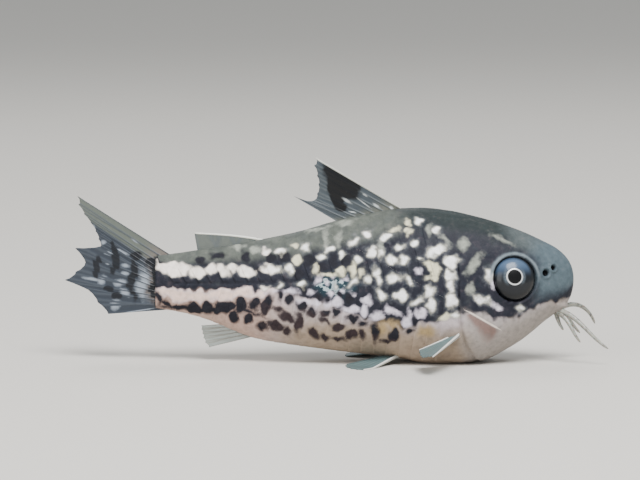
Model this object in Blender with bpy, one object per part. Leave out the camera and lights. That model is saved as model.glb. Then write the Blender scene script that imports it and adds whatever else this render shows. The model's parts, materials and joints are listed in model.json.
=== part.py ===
"""A dwarf corydoras catfish at life size, resting on its belly and pelvic fins.

The fish faces +X with +Z up, and its right side, the one with the dark eye toward -Y,
mirrors its left. The origin is on the flat of the belly that the fish rests on.
Shapes are worked out in millimetres and become metres where a mesh is made.
"""

import math

import bmesh
import bpy
from mathutils import Vector

MM = 0.001

# Driving dimensions
STANDARD_LENGTH = 43.8
SNOUT_X = 14.0
GAP = 0.3

# The body's form, as pairs of millimetres back from the snout and the value there
TOP = (
    (0.0, 8.7), (0.4, 10.4), (1.8, 11.9), (3.3, 12.7), (5.5, 13.7), (7.7, 14.5),
    (10.5, 15.3), (13.3, 15.9), (16.0, 16.15), (18.1, 16.1), (21.3, 15.6), (25.0, 14.75),
    (28.6, 13.7), (32.2, 12.9), (34.9, 12.35), (39.3, 11.65), (41.5, 11.3), (43.8, 11.0),
)
BOTTOM = (
    (0.0, 8.7), (0.2, 7.2), (0.6, 6.3), (1.5, 5.4), (3.0, 4.3), (4.3, 3.2),
    (5.6, 2.2), (7.2, 1.25), (8.7, 0.55), (10.3, 0.05), (12.0, -0.15), (14.0, -0.18),
    (16.0, -0.02), (18.1, 0.4), (21.3, 0.8), (25.0, 1.2), (30.7, 1.95), (33.2, 2.4),
    (35.0, 3.0), (37.2, 3.9), (39.0, 4.55), (41.2, 5.1), (43.8, 5.5),
)
HALF_WIDTH = (
    (0.0, 0.0), (0.4, 1.15), (1.2, 1.95), (2.5, 2.75), (4.5, 3.6), (6.2, 4.2),
    (9.0, 4.95), (12.0, 5.5), (14.0, 5.6), (17.0, 5.4), (21.0, 4.95), (26.0, 4.15),
    (31.0, 3.15), (36.0, 2.2), (40.0, 1.55), (43.8, 1.0),
)
WIDEST = ((0.0, 0.5), (3.0, 0.45), (8.0, 0.4), (20.0, 0.38), (34.0, 0.44), (43.8, 0.5))
BACK_FULLNESS = ((0.0, 2.1), (6.0, 2.2), (14.0, 1.85), (30.0, 1.8), (43.8, 2.0))
BELLY_FULLNESS = ((0.0, 2.1), (6.0, 2.3), (14.0, 2.7), (25.0, 2.5), (43.8, 2.0))
LATERAL_LINE = ((0.0, 8.7), (6.0, 9.2), (14.0, 9.3), (25.0, 8.9), (35.0, 8.4), (43.8, 8.2))

# The tail is carried a little to the left
SWAY_START = 22.0
SWAY = 0.0024

# Joints between the head, the trunk and the tail
GILL_TOP = 10.4
GILL_REACH = 1.7
GILL_THROAT = 9.6
GILL_COVER_LIFT = 0.22

# Bony plates
FIRST_PLATE = 13.6
PLATE_PITCH = 1.29
PLATES_ON_TRUNK = 14
PLATES_ON_TAIL = 9
PLATE_LIFT = 0.2
PLATE_STEP = 0.03
PLATE_LEAN_BACK = 1.5
PLATE_LEAN_BELLY = 1.2
GROOVE = 0.045
BARE_BELLY_FROM = 0.72
BARE_BELLY_ENDS = 30.0

# Columns of the skin's grid, as shares of the way from back to lateral line to belly
BACK_COLUMNS = 9
BELLY_COLUMNS = 11

# Head
EYE_BACK = 6.3
EYE_HEIGHT = 9.1
EYE_RADIUS = 2.25
EYE_DEPTH = 1.3
EYE_SINK = 0.4
ORBIT_RIM = 0.26
NOSTRIL_BACK = 2.75
NOSTRIL_HEIGHT = 9.5
NOSTRIL_RADIUS = 0.4
MOUTH = Vector((12.68, 0.0, 5.68))
MOUTH_FACING = Vector((0.62, 0.0, -0.785))
MOUTH_HALF_WIDTH = 1.3
MOUTH_HALF_HEIGHT = 0.55
LIP_RADIUS = 0.36
MOUTH_SLOT = 0.2

# Fins, the thickness of membrane and ridge at the root
MEMBRANE = 0.52
RIDGE = 0.34
SPINE_RIDGE = 0.5
TIP_SHARE = 0.5
RIDGE_HALF_SHARE = 0.3
SCALLOP = 0.035
ROOT_SINK = 1.2
FLOOR_FILM = 0.34

# Colours, as linear red, green and blue
OLIVE = (0.075, 0.08, 0.065)
MOTTLED = (0.25, 0.23, 0.19)
ROSE = (0.42, 0.33, 0.28)
SMOKE = (0.3, 0.31, 0.3)
INK = (0.012, 0.016, 0.024)


def along(table, back):
    """Smooth value of a table at a distance back from the snout.

    It is read over the square root of the distance, which rounds the snout.
    """
    where = math.sqrt(max(back, 0.0))
    knots = [math.sqrt(entry[0]) for entry in table]
    values = [entry[1] for entry in table]
    if where >= knots[-1]:
        return values[-1]
    low = max(i for i in range(len(knots) - 1) if knots[i] <= where)
    width = knots[low + 1] - knots[low]
    share = (where - knots[low]) / width

    def slope(i):
        if i in (0, len(knots) - 1):
            j = min(i, len(knots) - 2)
            return (values[j + 1] - values[j]) / (knots[j + 1] - knots[j])
        before = (values[i] - values[i - 1]) / (knots[i] - knots[i - 1])
        after = (values[i + 1] - values[i]) / (knots[i + 1] - knots[i])
        return 0.0 if before * after <= 0 else 2 * before * after / (before + after)

    start, end = slope(low) * width, slope(low + 1) * width
    rise = values[low + 1] - values[low]
    return (
        values[low]
        + start * share
        + (3 * rise - 2 * start - end) * share**2
        + (start + end - 2 * rise) * share**3
    )


def sway(back):
    """Sideways place of the body's middle plane."""
    return SWAY * max(back - SWAY_START, 0.0) ** 2


def smooth(low, high, value):
    """0 below low, 1 above high, and an even ramp between."""
    share = min(max((value - low) / (high - low), 0.0), 1.0)
    return share * share * (3 - 2 * share)


def section(back, lift=0.0):
    """Top, widest and bottom heights and the half width at a distance back."""
    top = along(TOP, back) + lift
    bottom = along(BOTTOM, back) - lift
    middle = bottom + along(WIDEST, back) * (top - bottom)
    return top, middle, bottom, along(HALF_WIDTH, back) + lift


def lateral_angle(back):
    """Angle from the back, in radians, at which the lateral line runs."""
    top, middle, _, _ = section(back)
    height = (along(LATERAL_LINE, back) - middle) / max(top - middle, 0.01)
    power = along(BACK_FULLNESS, back) / 2
    return math.acos(min(max(height, 0.02), 0.98) ** power)


def skin(back, angle, lift=0.0):
    """Point of the skin at an angle from the back, positive on the right side."""
    top, middle, bottom, half_width = section(back, lift)
    rise, side = math.cos(angle), math.sin(angle)
    reach = top - middle if rise >= 0 else bottom - middle
    power = 2 / along(BACK_FULLNESS if rise >= 0 else BELLY_FULLNESS, back)
    across = -math.copysign(abs(side) ** power, side) * half_width
    height = middle + abs(rise) ** power * reach
    return Vector((SNOUT_X - back, across + sway(back), height))


def flank(back, height, side, lift=0.0):
    """Point of the skin at a height, on the side given by the sign of Y."""
    top, middle, bottom, half_width = section(back, lift)
    if height >= middle:
        share, power = (height - middle) / (top - middle), along(BACK_FULLNESS, back)
    else:
        share, power = (middle - height) / (middle - bottom), along(BELLY_FULLNESS, back)
    across = half_width * max(1 - share**power, 0.0) ** (1 / power)
    return Vector((SNOUT_X - back, side * across + sway(back), height))


def outward(back, height, side):
    """Direction that the skin faces at a height on one flank."""
    step = 0.05
    here = flank(back, height, side)
    upward = flank(back, height + step, side) - here
    forward = flank(back - step, height, side) - here
    facing = forward.cross(upward).normalized()
    return facing if facing.y * side > 0 else -facing


def columns():
    """Shares of the way round one side: 0 the back, 1 the lateral line, 2 the belly."""
    upper = [i / BACK_COLUMNS for i in range(BACK_COLUMNS)]
    lower = [1 + i / BELLY_COLUMNS for i in range(1, BELLY_COLUMNS + 1)]
    return upper + [1 - GROOVE, 1.0, 1 + GROOVE] + lower


def angle_of(share, back):
    """Angle from the back for a column's share of the way round."""
    line = lateral_angle(back)
    if share <= 1:
        return share * line
    return line + (share - 1) * (math.pi - line)


def gill_lean(share):
    """How far the gill cover's edge lies behind GILL_TOP at a column."""
    bulge = GILL_REACH * math.sin(math.pi * min(share / 2, 1.0)) ** 1.5
    return bulge + (GILL_THROAT - GILL_TOP) * smooth(1.2, 2.0, share)


def plate_lean(share):
    """How far a plate's edge falls back above and below the lateral line."""
    away = abs(1 - share)
    lean = PLATE_LEAN_BACK if share < 1 else PLATE_LEAN_BELLY
    return lean * math.sin(math.pi / 2 * min(away * 1.3, 1.0))


def plated(share, back):
    """1 where plates cover the skin, and 0 in the groove and on the bare belly."""
    groove = smooth(0.0, GROOVE, abs(1 - share))
    bare = smooth(BARE_BELLY_FROM, BARE_BELLY_FROM + 0.12, share - 1)
    covered = smooth(BARE_BELLY_ENDS - 3, BARE_BELLY_ENDS, back)
    ridge = smooth(0.0, 0.1, share)
    return groove * ridge * max(1 - bare, covered)


def head_lift(share, back):
    """The gill cover and the cheek stand a little proud of the head."""
    edge = GILL_TOP + gill_lean(share)
    cover = smooth(edge - 3.4, edge - 2.8, back) * smooth(0.75, 0.95, share)
    return GILL_COVER_LIFT * cover * (1 - smooth(1.5, 1.75, share))


class Ring:
    """One ring of the skin: its place, lean and lift for each column."""

    def __init__(self, back, lean, lift):
        self.back, self.lean, self.lift = back, lean, lift

    def points(self):
        """The ring's points, from the back down the right side and up the left."""
        found = []
        shares = columns()
        turns = [(share, 1) for share in shares]
        turns += [(share, -1) for share in reversed(shares[1:-1])]
        for share, side in turns:
            back = self.back + self.lean(share)
            angle = side * angle_of(share, back)
            point = skin(back, angle, self.lift(share, back))
            point.z = max(point.z, 0.0)
            found.append(point)
        return found


def make_object(name, points, faces, colour, collection):
    """A mesh object from points in millimetres."""
    mesh = bpy.data.meshes.new(name)
    mesh.from_pydata([tuple(point * MM) for point in points], [], faces)
    mesh.update()
    made = bpy.data.objects.new(name, mesh)
    collection.objects.link(made)
    if colour is not None:
        paint(made, colour)
    return made


def paint(made, colour, roughness=0.35):
    """A plain material in the part's colour."""
    material = bpy.data.materials.new(made.name)
    material.use_nodes = True
    shader = material.node_tree.nodes["Principled BSDF"]
    shader.inputs["Base Color"].default_value = (*colour, 1.0)
    shader.inputs["Roughness"].default_value = roughness
    shader.inputs["Metallic"].default_value = 0.0
    material.diffuse_color = (*colour, 1.0)
    made.data.materials.clear()
    made.data.materials.append(material)


def loft(name, rings, colour, collection, snout=False):
    """A closed body through rings, with a point or a cap at each end."""
    rows = [ring.points() for ring in rings]
    count = len(rows[0])
    points = [point for row in rows for point in row]
    first, last = rows[0], rows[-1]
    front = skin(0.0, 0.0) if snout else sum(first, Vector()) / count
    points += [front, sum(last, Vector()) / count]
    head, tail = len(points) - 2, len(points) - 1
    faces = []
    for i in range(count):
        j = (i + 1) % count
        faces.append((head, j, i))
        for row in range(len(rows) - 1):
            a, b = row * count, (row + 1) * count
            faces += [(a + i, a + j, b + j), (a + i, b + j, b + i)]
        end = (len(rows) - 1) * count
        faces.append((tail, end + i, end + j))
    made = make_object(name, points, faces, colour, collection)
    face_outward(made)
    return made


def face_outward(made):
    """Turns all of a closed mesh's faces to point out."""
    work = bmesh.new()
    work.from_mesh(made.data)
    bmesh.ops.remove_doubles(work, verts=work.verts, dist=0.0005 * MM)
    bmesh.ops.recalc_face_normals(work, faces=work.faces)
    work.to_mesh(made.data)
    work.free()
    made.data.shade_smooth()
    made.data.set_sharp_from_angle(angle=math.radians(40))


def keep_largest(made):
    """Drops every closed surface but the one that fills the largest box."""
    work = bmesh.new()
    work.from_mesh(made.data)
    left, islands = set(work.faces), []
    while left:
        island, edge = set(), [left.pop()]
        while edge:
            face = edge.pop()
            island.add(face)
            near = {other for e in face.edges for other in e.link_faces}
            edge += near & left
            left -= near
        islands.append(island)

    def spread(island):
        corners = [vert.co for face in island for vert in face.verts]
        return sum(max(c[i] for c in corners) - min(c[i] for c in corners) for i in range(3))

    islands.sort(key=spread)
    scraps = [face for island in islands[:-1] for face in island]
    bmesh.ops.delete(work, geom=scraps, context="FACES")
    work.to_mesh(made.data)
    work.free()


def combine(made, tools, operation, collection, keep_tools=False):
    """Applies one exact Boolean with a collection of closed meshes."""
    group = bpy.data.collections.new(made.name + "_" + operation.lower())
    for tool in tools:
        group.objects.link(tool)
    modifier = made.modifiers.new(operation.title(), "BOOLEAN")
    modifier.operation = operation
    modifier.solver = "EXACT"
    modifier.operand_type = "COLLECTION"
    modifier.collection = group
    bpy.context.view_layer.update()
    graph = bpy.context.evaluated_depsgraph_get()
    result = bpy.data.meshes.new_from_object(made.evaluated_get(graph))
    made.modifiers.clear()
    made.data = result
    made.data.name = made.name
    bpy.data.collections.remove(group)
    if not keep_tools:
        for tool in tools:
            bpy.data.objects.remove(tool)
    keep_largest(made)


def tube(name, middle, radii, collection, sides=3, cyclic=False):
    """A closed round tube through points in millimetres, made from a curve."""
    curve = bpy.data.curves.new(name, "CURVE")
    curve.dimensions = "3D"
    curve.bevel_depth = MM
    curve.bevel_resolution = sides - 2
    curve.use_fill_caps = not cyclic
    spline = curve.splines.new("POLY")
    spline.points.add(len(middle) - 1)
    spline.use_cyclic_u = cyclic
    for node, point, radius in zip(spline.points, middle, radii):
        node.co = (*(point * MM), 1.0)
        node.radius = radius
    holder = bpy.data.objects.new(name + "_curve", curve)
    collection.objects.link(holder)
    bpy.context.view_layer.update()
    graph = bpy.context.evaluated_depsgraph_get()
    mesh = bpy.data.meshes.new_from_object(holder.evaluated_get(graph))
    bpy.data.objects.remove(holder)
    made = bpy.data.objects.new(name, mesh)
    collection.objects.link(made)
    face_outward(made)
    return made


def bezier(controls, share):
    """Point at a share of the way along a Bezier curve."""
    points = [Vector(control) for control in controls]
    while len(points) > 1:
        points = [a.lerp(b, share) for a, b in zip(points, points[1:])]
    return points[0]


def ellipsoid(name, centre, radii, facing, collection, segments=20, rings=12):
    """A closed ellipsoid whose third radius lies along the facing direction."""
    bpy.ops.mesh.primitive_uv_sphere_add(segments=segments, ring_count=rings, radius=1.0)
    made = bpy.context.object
    made.name = made.data.name = name
    for owner in made.users_collection:
        owner.objects.unlink(made)
    collection.objects.link(made)
    turn = facing.to_track_quat("Z", "Y").to_matrix()
    for vert in made.data.vertices:
        local = Vector(a * b for a, b in zip(vert.co, radii))
        vert.co = (turn @ local + centre) * MM
    face_outward(made)
    return made


def torus(name, centre, major, minor, facing, collection, segments=20, sides=6):
    """A closed ring round the facing direction."""
    turn = facing.to_track_quat("Z", "Y").to_matrix()
    circle = []
    for i in range(segments):
        angle = 2 * math.pi * i / segments
        local = Vector((major[0] * math.cos(angle), major[1] * math.sin(angle), 0.0))
        circle.append(turn @ local + centre)
    return tube(name, circle, [minor] * segments, collection, sides // 2, cyclic=True)


def skull_rings():
    """Rings from the snout to the gill cover, leaning more and more to its edge."""
    rings = []
    count = 21
    for i in range(1, count + 1):
        share = i / count
        back = GILL_TOP * share**1.5

        def lean(column, share=share):
            return gill_lean(column) * share**3

        rings.append(Ring(back, lean, head_lift))
    return rings


def mouth_parts(grow, collection):
    """The roll of the lips, grown by a gap where it is used as a cutter."""
    major = (MOUTH_HALF_WIDTH, MOUTH_HALF_HEIGHT)
    radius = LIP_RADIUS + grow
    return torus("lips", MOUTH, major, radius, MOUTH_FACING, collection, 18, 8)


def eye_place(side):
    """Centre and direction of one eye."""
    facing = outward(EYE_BACK, EYE_HEIGHT, side)
    return flank(EYE_BACK, EYE_HEIGHT, side) - facing * EYE_SINK, facing


def make_head(parts, cutters):
    """Head with orbit rims, nostrils, lips, the line of the mouth and gill covers."""
    head = loft("head", skull_rings(), OLIVE, parts, snout=True)
    raised, hollows = [mouth_parts(0.0, cutters)], []
    for side, word in ((-1, "right"), (1, "left")):
        centre, facing = eye_place(side)
        rim_at = centre + facing * EYE_SINK
        rim = EYE_RADIUS + GAP
        raised.append(
            torus("rim_" + word, rim_at, (rim, rim), ORBIT_RIM, facing, cutters, 24, 6)
        )
        nose = flank(NOSTRIL_BACK, NOSTRIL_HEIGHT, side)
        nose_facing = outward(NOSTRIL_BACK, NOSTRIL_HEIGHT, side)
        size = (NOSTRIL_RADIUS, NOSTRIL_RADIUS)
        raised.append(torus("nose_" + word, nose, size, 0.16, nose_facing, cutters, 12, 6))
        socket = [EYE_RADIUS + GAP, EYE_RADIUS + GAP, EYE_DEPTH + GAP]
        hollows.append(ellipsoid("socket_" + word, centre, socket, facing, cutters, 24, 12))
        pit = [NOSTRIL_RADIUS * 0.7] * 2 + [0.55]
        hollows.append(ellipsoid("pit_" + word, nose, pit, nose_facing, cutters, 10, 6))
    slot = [MOUTH_HALF_WIDTH * 0.85, MOUTH_SLOT, 0.9]
    hollows.append(ellipsoid("mouth", MOUTH, slot, MOUTH_FACING, cutters, 14, 8))
    combine(head, raised, "UNION", cutters)
    combine(head, hollows, "DIFFERENCE", cutters)
    return head


def plate_rings(first, count, start_back, end_back):
    """Two rings for each plate: low in front, and high at its free hind edge."""
    rings = []

    def lift_of(height):
        return lambda share, back: height * PLATE_LIFT * plated(share, back)

    for plate in range(count):
        begins = FIRST_PLATE + (first + plate) * PLATE_PITCH
        for step, height in ((PLATE_STEP, 0.0), (1 - PLATE_STEP, 1.0)):
            back = begins + step * PLATE_PITCH
            if start_back <= back <= end_back:
                rings.append(Ring(back - PLATE_LEAN_BACK, plate_lean, lift_of(height)))
    return rings


def make_trunk(parts):
    """Trunk from the shoulder girdle to the root of the tail."""
    rings = []
    shoulder = FIRST_PLATE - PLATE_LEAN_BACK - GILL_TOP - GAP
    for share in (0.0, 0.25, 0.5, 0.75):
        start = GILL_TOP + GAP + shoulder * share

        def lean(column, share=share):
            return gill_lean(column) * (1 - share) + plate_lean(column) * share

        rings.append(Ring(start, lean, lambda column, back: 0.0))
    end = FIRST_PLATE + PLATES_ON_TRUNK * PLATE_PITCH
    rings += plate_rings(0, PLATES_ON_TRUNK, 0.0, end)
    return loft("trunk", rings, MOTTLED, parts)


def make_tail(parts):
    """Root of the tail, from the last plate of the trunk to the tail fin."""
    rings = plate_rings(PLATES_ON_TRUNK, PLATES_ON_TAIL, 0.0, STANDARD_LENGTH)
    first = rings[0]
    rings[0] = Ring(first.back - PLATE_STEP * PLATE_PITCH + GAP, first.lean, first.lift)
    rings.append(Ring(STANDARD_LENGTH, lambda share: 0.0, lambda share, back: 0.0))
    return loft("tail", rings, ROSE, parts)


def make_root_cutter(cutters):
    """The whole body grown by the gap, which trims the roots of fins and barbels."""
    ends = STANDARD_LENGTH + GAP
    count = 32

    def grown(share, back):
        behind_head = smooth(FIRST_PLATE - 1.2, FIRST_PLATE - 0.6, back)
        return GAP + PLATE_LIFT * plated(share, back) * behind_head + head_lift(share, back)

    rings = []
    for i in range(count + 1):
        rings.append(Ring(ends * (i + 0.3) / (count + 0.3), lambda share: 0.0, grown))
    made = loft("root_cutter", rings, None, cutters, snout=True)
    made.hide_render = True
    made.display_type = "WIRE"
    return made


class Frame:
    """A fin's own plane: an origin, two directions in it and the way it faces."""

    def __init__(self, origin, first, second, swayed=False):
        self.origin, self.first, self.second = Vector(origin), Vector(first), Vector(second)
        self.facing = self.first.cross(self.second).normalized()
        self.swayed = swayed

    def place(self, flat, off):
        """World point of a place in the plane and a distance off it."""
        point = self.origin + self.first * flat[0] + self.second * flat[1]
        point = point + self.facing * off
        if self.swayed:
            point.y += sway(SNOUT_X - point.x)
        return point


UPRIGHT = Frame((0, 0, 0), (1, 0, 0), (0, 0, 1), swayed=True)


def fin(name, rays, frame, collection, rows=8, spine=0, camber=None, floor=False):
    """A membrane with a ridge along each ray, as one closed body.

    Each ray is a pair of points in the fin's plane, its root and its tip.
    """
    count = len(rays)
    shares = [0.0]
    for i in range(count - 1):
        shares += [i + RIDGE_HALF_SHARE, i + 1 - RIDGE_HALF_SHARE, i + 1.0]
    grid = []
    for share in shares:
        low = min(int(share), count - 2)
        between = share - low
        root = Vector(rays[low][0]).lerp(Vector(rays[low + 1][0]), between)
        tip = Vector(rays[low][1]).lerp(Vector(rays[low + 1][1]), between)
        off_ray = min(between, 1 - between)
        tip = tip.lerp(root, SCALLOP * smooth(0.0, RIDGE_HALF_SHARE, off_ray))
        on_ray = 1 - smooth(0.0, RIDGE_HALF_SHARE, off_ray)
        ridge = (SPINE_RIDGE if round(share) < spine else RIDGE) * on_ray
        column = []
        for row in range(rows + 1):
            way = row / rows
            flat = root.lerp(tip, way)
            half = (MEMBRANE + ridge) / 2 * (1 - (1 - TIP_SHARE) * way**1.5)
            bend = camber(share / (count - 1), way) if camber else 0.0
            faces = [frame.place(flat, bend + half), frame.place(flat, bend - half)]
            if floor:
                faces.sort(key=lambda point: -point.z)
                faces[0].z = max(faces[0].z, FLOOR_FILM)
                faces[1].z = max(faces[1].z, 0.0)
            column.append(faces)
        grid.append(column)
    return close_grid(name, grid, collection)


def close_grid(name, grid, collection):
    """A closed body from a grid of point pairs, split alike on both faces."""
    wide, tall = len(grid), len(grid[0])
    points = [point for column in grid for pair in column for point in pair]

    def at(i, j, face):
        return (i * tall + j) * 2 + face

    faces = []
    for i in range(wide - 1):
        for j in range(tall - 1):
            for face in (0, 1):
                a, b = at(i, j, face), at(i + 1, j, face)
                c, d = at(i + 1, j + 1, face), at(i, j + 1, face)
                halves = [(a, b, c), (a, c, d)]
                faces += halves if face else [half[::-1] for half in halves]
    edge = [(i, 0) for i in range(wide)] + [(wide - 1, j) for j in range(1, tall)]
    edge += [(i, tall - 1) for i in range(wide - 2, -1, -1)]
    edge += [(0, j) for j in range(tall - 2, 0, -1)]
    for here, there in zip(edge, edge[1:] + edge[:1]):
        a, b = at(*here, 0), at(*there, 0)
        c, d = at(*there, 1), at(*here, 1)
        faces += [(a, b, c), (a, c, d)]
    made = make_object(name, points, faces, SMOKE, collection)
    face_outward(made)
    return made


def sunk(root, tip):
    """A ray's root moved back along the ray, into the body."""
    root, tip = Vector(root), Vector(tip)
    return root - (tip - root).normalized() * ROOT_SINK, tip


def back_point(x):
    """Place on the line of the back, in the upright plane."""
    return (x, along(TOP, SNOUT_X - x))


def belly_point(x):
    """Place on the line of the belly, in the upright plane."""
    return (x, along(BOTTOM, SNOUT_X - x))


def spread(first, last, count):
    """Evenly spaced values from first to last."""
    return [first + (last - first) * i / (count - 1) for i in range(count)]


DORSAL_ROOTS = (-4.1, -10.9)
DORSAL_TIPS = (
    (-12.97, 21.4), (-13.15, 20.6), (-12.85, 19.5), (-12.7, 18.6),
    (-12.85, 17.6), (-13.1, 16.95), (-13.9, 16.85), (-15.25, 17.35),
)


def make_dorsal_fin(parts):
    """High sail with a spine in front and a trailing last ray."""
    roots = [back_point(x) for x in spread(*DORSAL_ROOTS, len(DORSAL_TIPS))]
    rays = [sunk(root, tip) for root, tip in zip(roots, DORSAL_TIPS)]
    return fin("dorsal_fin", rays, UPRIGHT, parts, rows=5, spine=1)


ADIPOSE_ROOTS = (-19.3, -25.4)
ADIPOSE_EDGE = ((-19.0, 12.95), (-21.3, 13.05), (-23.6, 13.35), (-25.7, 13.35))


def make_adipose_fin(parts):
    """Low sail held by one spine along its upper edge."""
    roots = [back_point(x) for x in spread(*ADIPOSE_ROOTS, len(ADIPOSE_EDGE))]
    rays = [sunk(root, tip) for root, tip in zip(roots, ADIPOSE_EDGE)]
    sail = fin("adipose_fin", rays, UPRIGHT, parts, rows=4)
    edge = [UPRIGHT.place(point, 0.0) for point in ADIPOSE_EDGE]
    start = UPRIGHT.place((-18.0, 11.9), 0.0)
    spine = tube("adipose_spine", [start] + edge, (0.4, 0.42, 0.4, 0.36, 0.3), parts, 3)
    combine(sail, [spine], "UNION", parts)
    return sail


TAIL_FIN_X = -29.6
TAIL_FIN_EDGE_X = -28.3
UPPER_ROOTS_Z = (11.15, 8.5)
LOWER_ROOTS_Z = (8.1, 5.35)
UPPER_TIPS = (
    (-38.0, 17.2), (-37.9, 16.3), (-37.3, 15.3), (-36.6, 14.4),
    (-36.1, 13.5), (-35.8, 12.7), (-35.6, 11.9),
)
LOWER_TIPS = (
    (-38.3, 11.7), (-37.2, 10.2), (-38.2, 9.2), (-39.4, 8.3),
    (-36.9, 7.3), (-35.9, 6.0), (-34.8, 4.8),
)


def make_tail_fin(parts):
    """Forked tail fin as two lobes, the lower one laid back by the ground."""
    lobes = []
    for name, heights, tips, turned in (
        ("tail_fin_upper", UPPER_ROOTS_Z, UPPER_TIPS, False),
        ("tail_fin_lower", LOWER_ROOTS_Z, LOWER_TIPS, True),
    ):
        count = len(tips)
        rays = []
        for i, height in enumerate(spread(*heights, count)):
            outer = (count - 1 - i if turned else i) / (count - 1)
            x = TAIL_FIN_EDGE_X + (TAIL_FIN_X - TAIL_FIN_EDGE_X) * min(outer * 2.5, 1.0)
            rays.append(sunk((x, height), tips[i]))
        lobes.append(fin(name, rays, UPRIGHT, parts, rows=5))
    return lobes


ANAL_ROOTS = (-19.7, -23.0)
ANAL_TIPS = (
    (-24.2, 1.4), (-24.6, 1.9), (-24.8, 2.4), (-24.9, 2.85), (-25.0, 3.3), (-25.0, 3.7),
)


def make_anal_fin(parts):
    """Small fin under the root of the tail, laid back along it."""
    roots = [belly_point(x) for x in spread(*ANAL_ROOTS, len(ANAL_TIPS))]
    rays = [sunk(root, tip) for root, tip in zip(roots, ANAL_TIPS)]
    return fin("anal_fin", rays, UPRIGHT, parts, rows=4)


PECTORAL_BACK = 12.1
PECTORAL_HEIGHT = 3.4
PECTORAL_SPINE = (3.1, 8.0)
PECTORAL_LAST = (4.4, 1.8)
PECTORAL_RAYS = 8
PECTORAL_SLOPE = (-0.95, 0.0, -0.32)
PECTORAL_DROOP = 0.05


def fan(first, last, count, swell):
    """Ray tips from first to last along a rounded outer edge."""
    tips = []
    for i in range(count):
        share = i / (count - 1)
        tip = Vector(first).lerp(Vector(last), share)
        tips.append(tip * (1 + swell * math.sin(math.pi * share)))
    return tips


def make_pectoral_fin(side, word, parts):
    """Side fin held out like a wing, with its spine in front."""
    base = flank(PECTORAL_BACK, PECTORAL_HEIGHT, side)
    frame = Frame(base, PECTORAL_SLOPE, (0, side, -PECTORAL_DROOP))
    rays = []
    for i, tip in enumerate(fan(PECTORAL_SPINE, PECTORAL_LAST, PECTORAL_RAYS, 0.12)):
        root = Vector((1.1 * i / (PECTORAL_RAYS - 1), 0.0))
        rays.append(sunk(root, tip))
    return fin("pectoral_fin_" + word, rays, frame, parts, rows=5, spine=1)


PELVIC_BACK = 18.4
PELVIC_OUT = 2.6
PELVIC_FIRST = (3.6, 5.3)
PELVIC_LAST = (5.4, 0.9)
PELVIC_RAYS = 6
PELVIC_DROP = 0.22


def make_pelvic_fin(side, word, parts):
    """Belly fin spread on the ground."""
    top, middle, bottom, half_width = section(PELVIC_BACK)
    share = PELVIC_OUT / half_width
    power = along(BELLY_FULLNESS, PELVIC_BACK)
    height = middle + (bottom - middle) * (1 - share**power) ** (1 / power)
    base = Vector((SNOUT_X - PELVIC_BACK, side * PELVIC_OUT, height + 0.1))
    outward_slope = Vector((0, side, -PELVIC_DROP * 0.6))
    backward_slope = Vector((-1, 0, -PELVIC_DROP * 0.6))
    frame = Frame(base, backward_slope, outward_slope)
    rays = []
    for i, tip in enumerate(fan(PELVIC_FIRST, PELVIC_LAST, PELVIC_RAYS, 0.16)):
        root = Vector((1.3 * i / (PELVIC_RAYS - 1), -0.6 * i / (PELVIC_RAYS - 1)))
        rays.append(sunk(root, tip))
    return fin("pelvic_fin_" + word, rays, frame, parts, rows=5, floor=True)


# Barbels, each with its radius at the root and its curve's control points
BARBELS = (
    ("long_barbel_right", 0.34, ((12.6, -1.2, 5.5), (14.9, -2.5, 5.2), (15.6, -3.0, 2.9), (17.5, -3.6, 1.7))),
    ("short_barbel_right", 0.32, ((12.5, -1.15, 5.2), (13.9, -2.2, 4.6), (13.7, -2.6, 3.4), (14.6, -2.9, 2.3))),
    ("long_barbel_left", 0.34, ((12.6, 1.2, 5.5), (14.6, 2.3, 6.8), (16.0, 3.0, 5.6), (16.5, 3.5, 3.5))),
    ("short_barbel_left", 0.32, ((12.5, 1.15, 5.2), (13.8, 2.2, 4.8), (14.0, 2.6, 3.6), (14.9, 3.0, 2.6))),
    ("chin_barbel_right", 0.3, ((12.2, -0.55, 5.1), (12.3, -0.8, 4.3), (12.5, -1.0, 3.9), (12.9, -1.1, 3.4))),
    ("chin_barbel_left", 0.3, ((12.2, 0.55, 5.1), (12.3, 0.8, 4.3), (12.5, 1.0, 3.9), (12.9, 1.1, 3.4))),
)


def make_barbels(parts):
    """Soft barbels that hang from the corners of the mouth and the chin."""
    made = []
    for name, radius, controls in BARBELS:
        count = 10
        shares = [i / (count - 1) for i in range(count)]
        middle = [bezier(controls, share) for share in shares]
        radii = [radius * (1 - 0.6 * share) for share in shares]
        barbel = tube(name, middle, radii, parts, 3)
        paint(barbel, SMOKE)
        made.append(barbel)
    return made


def make_eyes(parts):
    """Flattened eyeballs that stand a little out of the orbits."""
    for side, word in ((-1, "right"), (1, "left")):
        centre, facing = eye_place(side)
        size = (EYE_RADIUS, EYE_RADIUS, EYE_DEPTH)
        eye = ellipsoid("eye_" + word, centre, size, facing, parts, 20, 10)
        paint(eye, INK, roughness=0.05)


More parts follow.
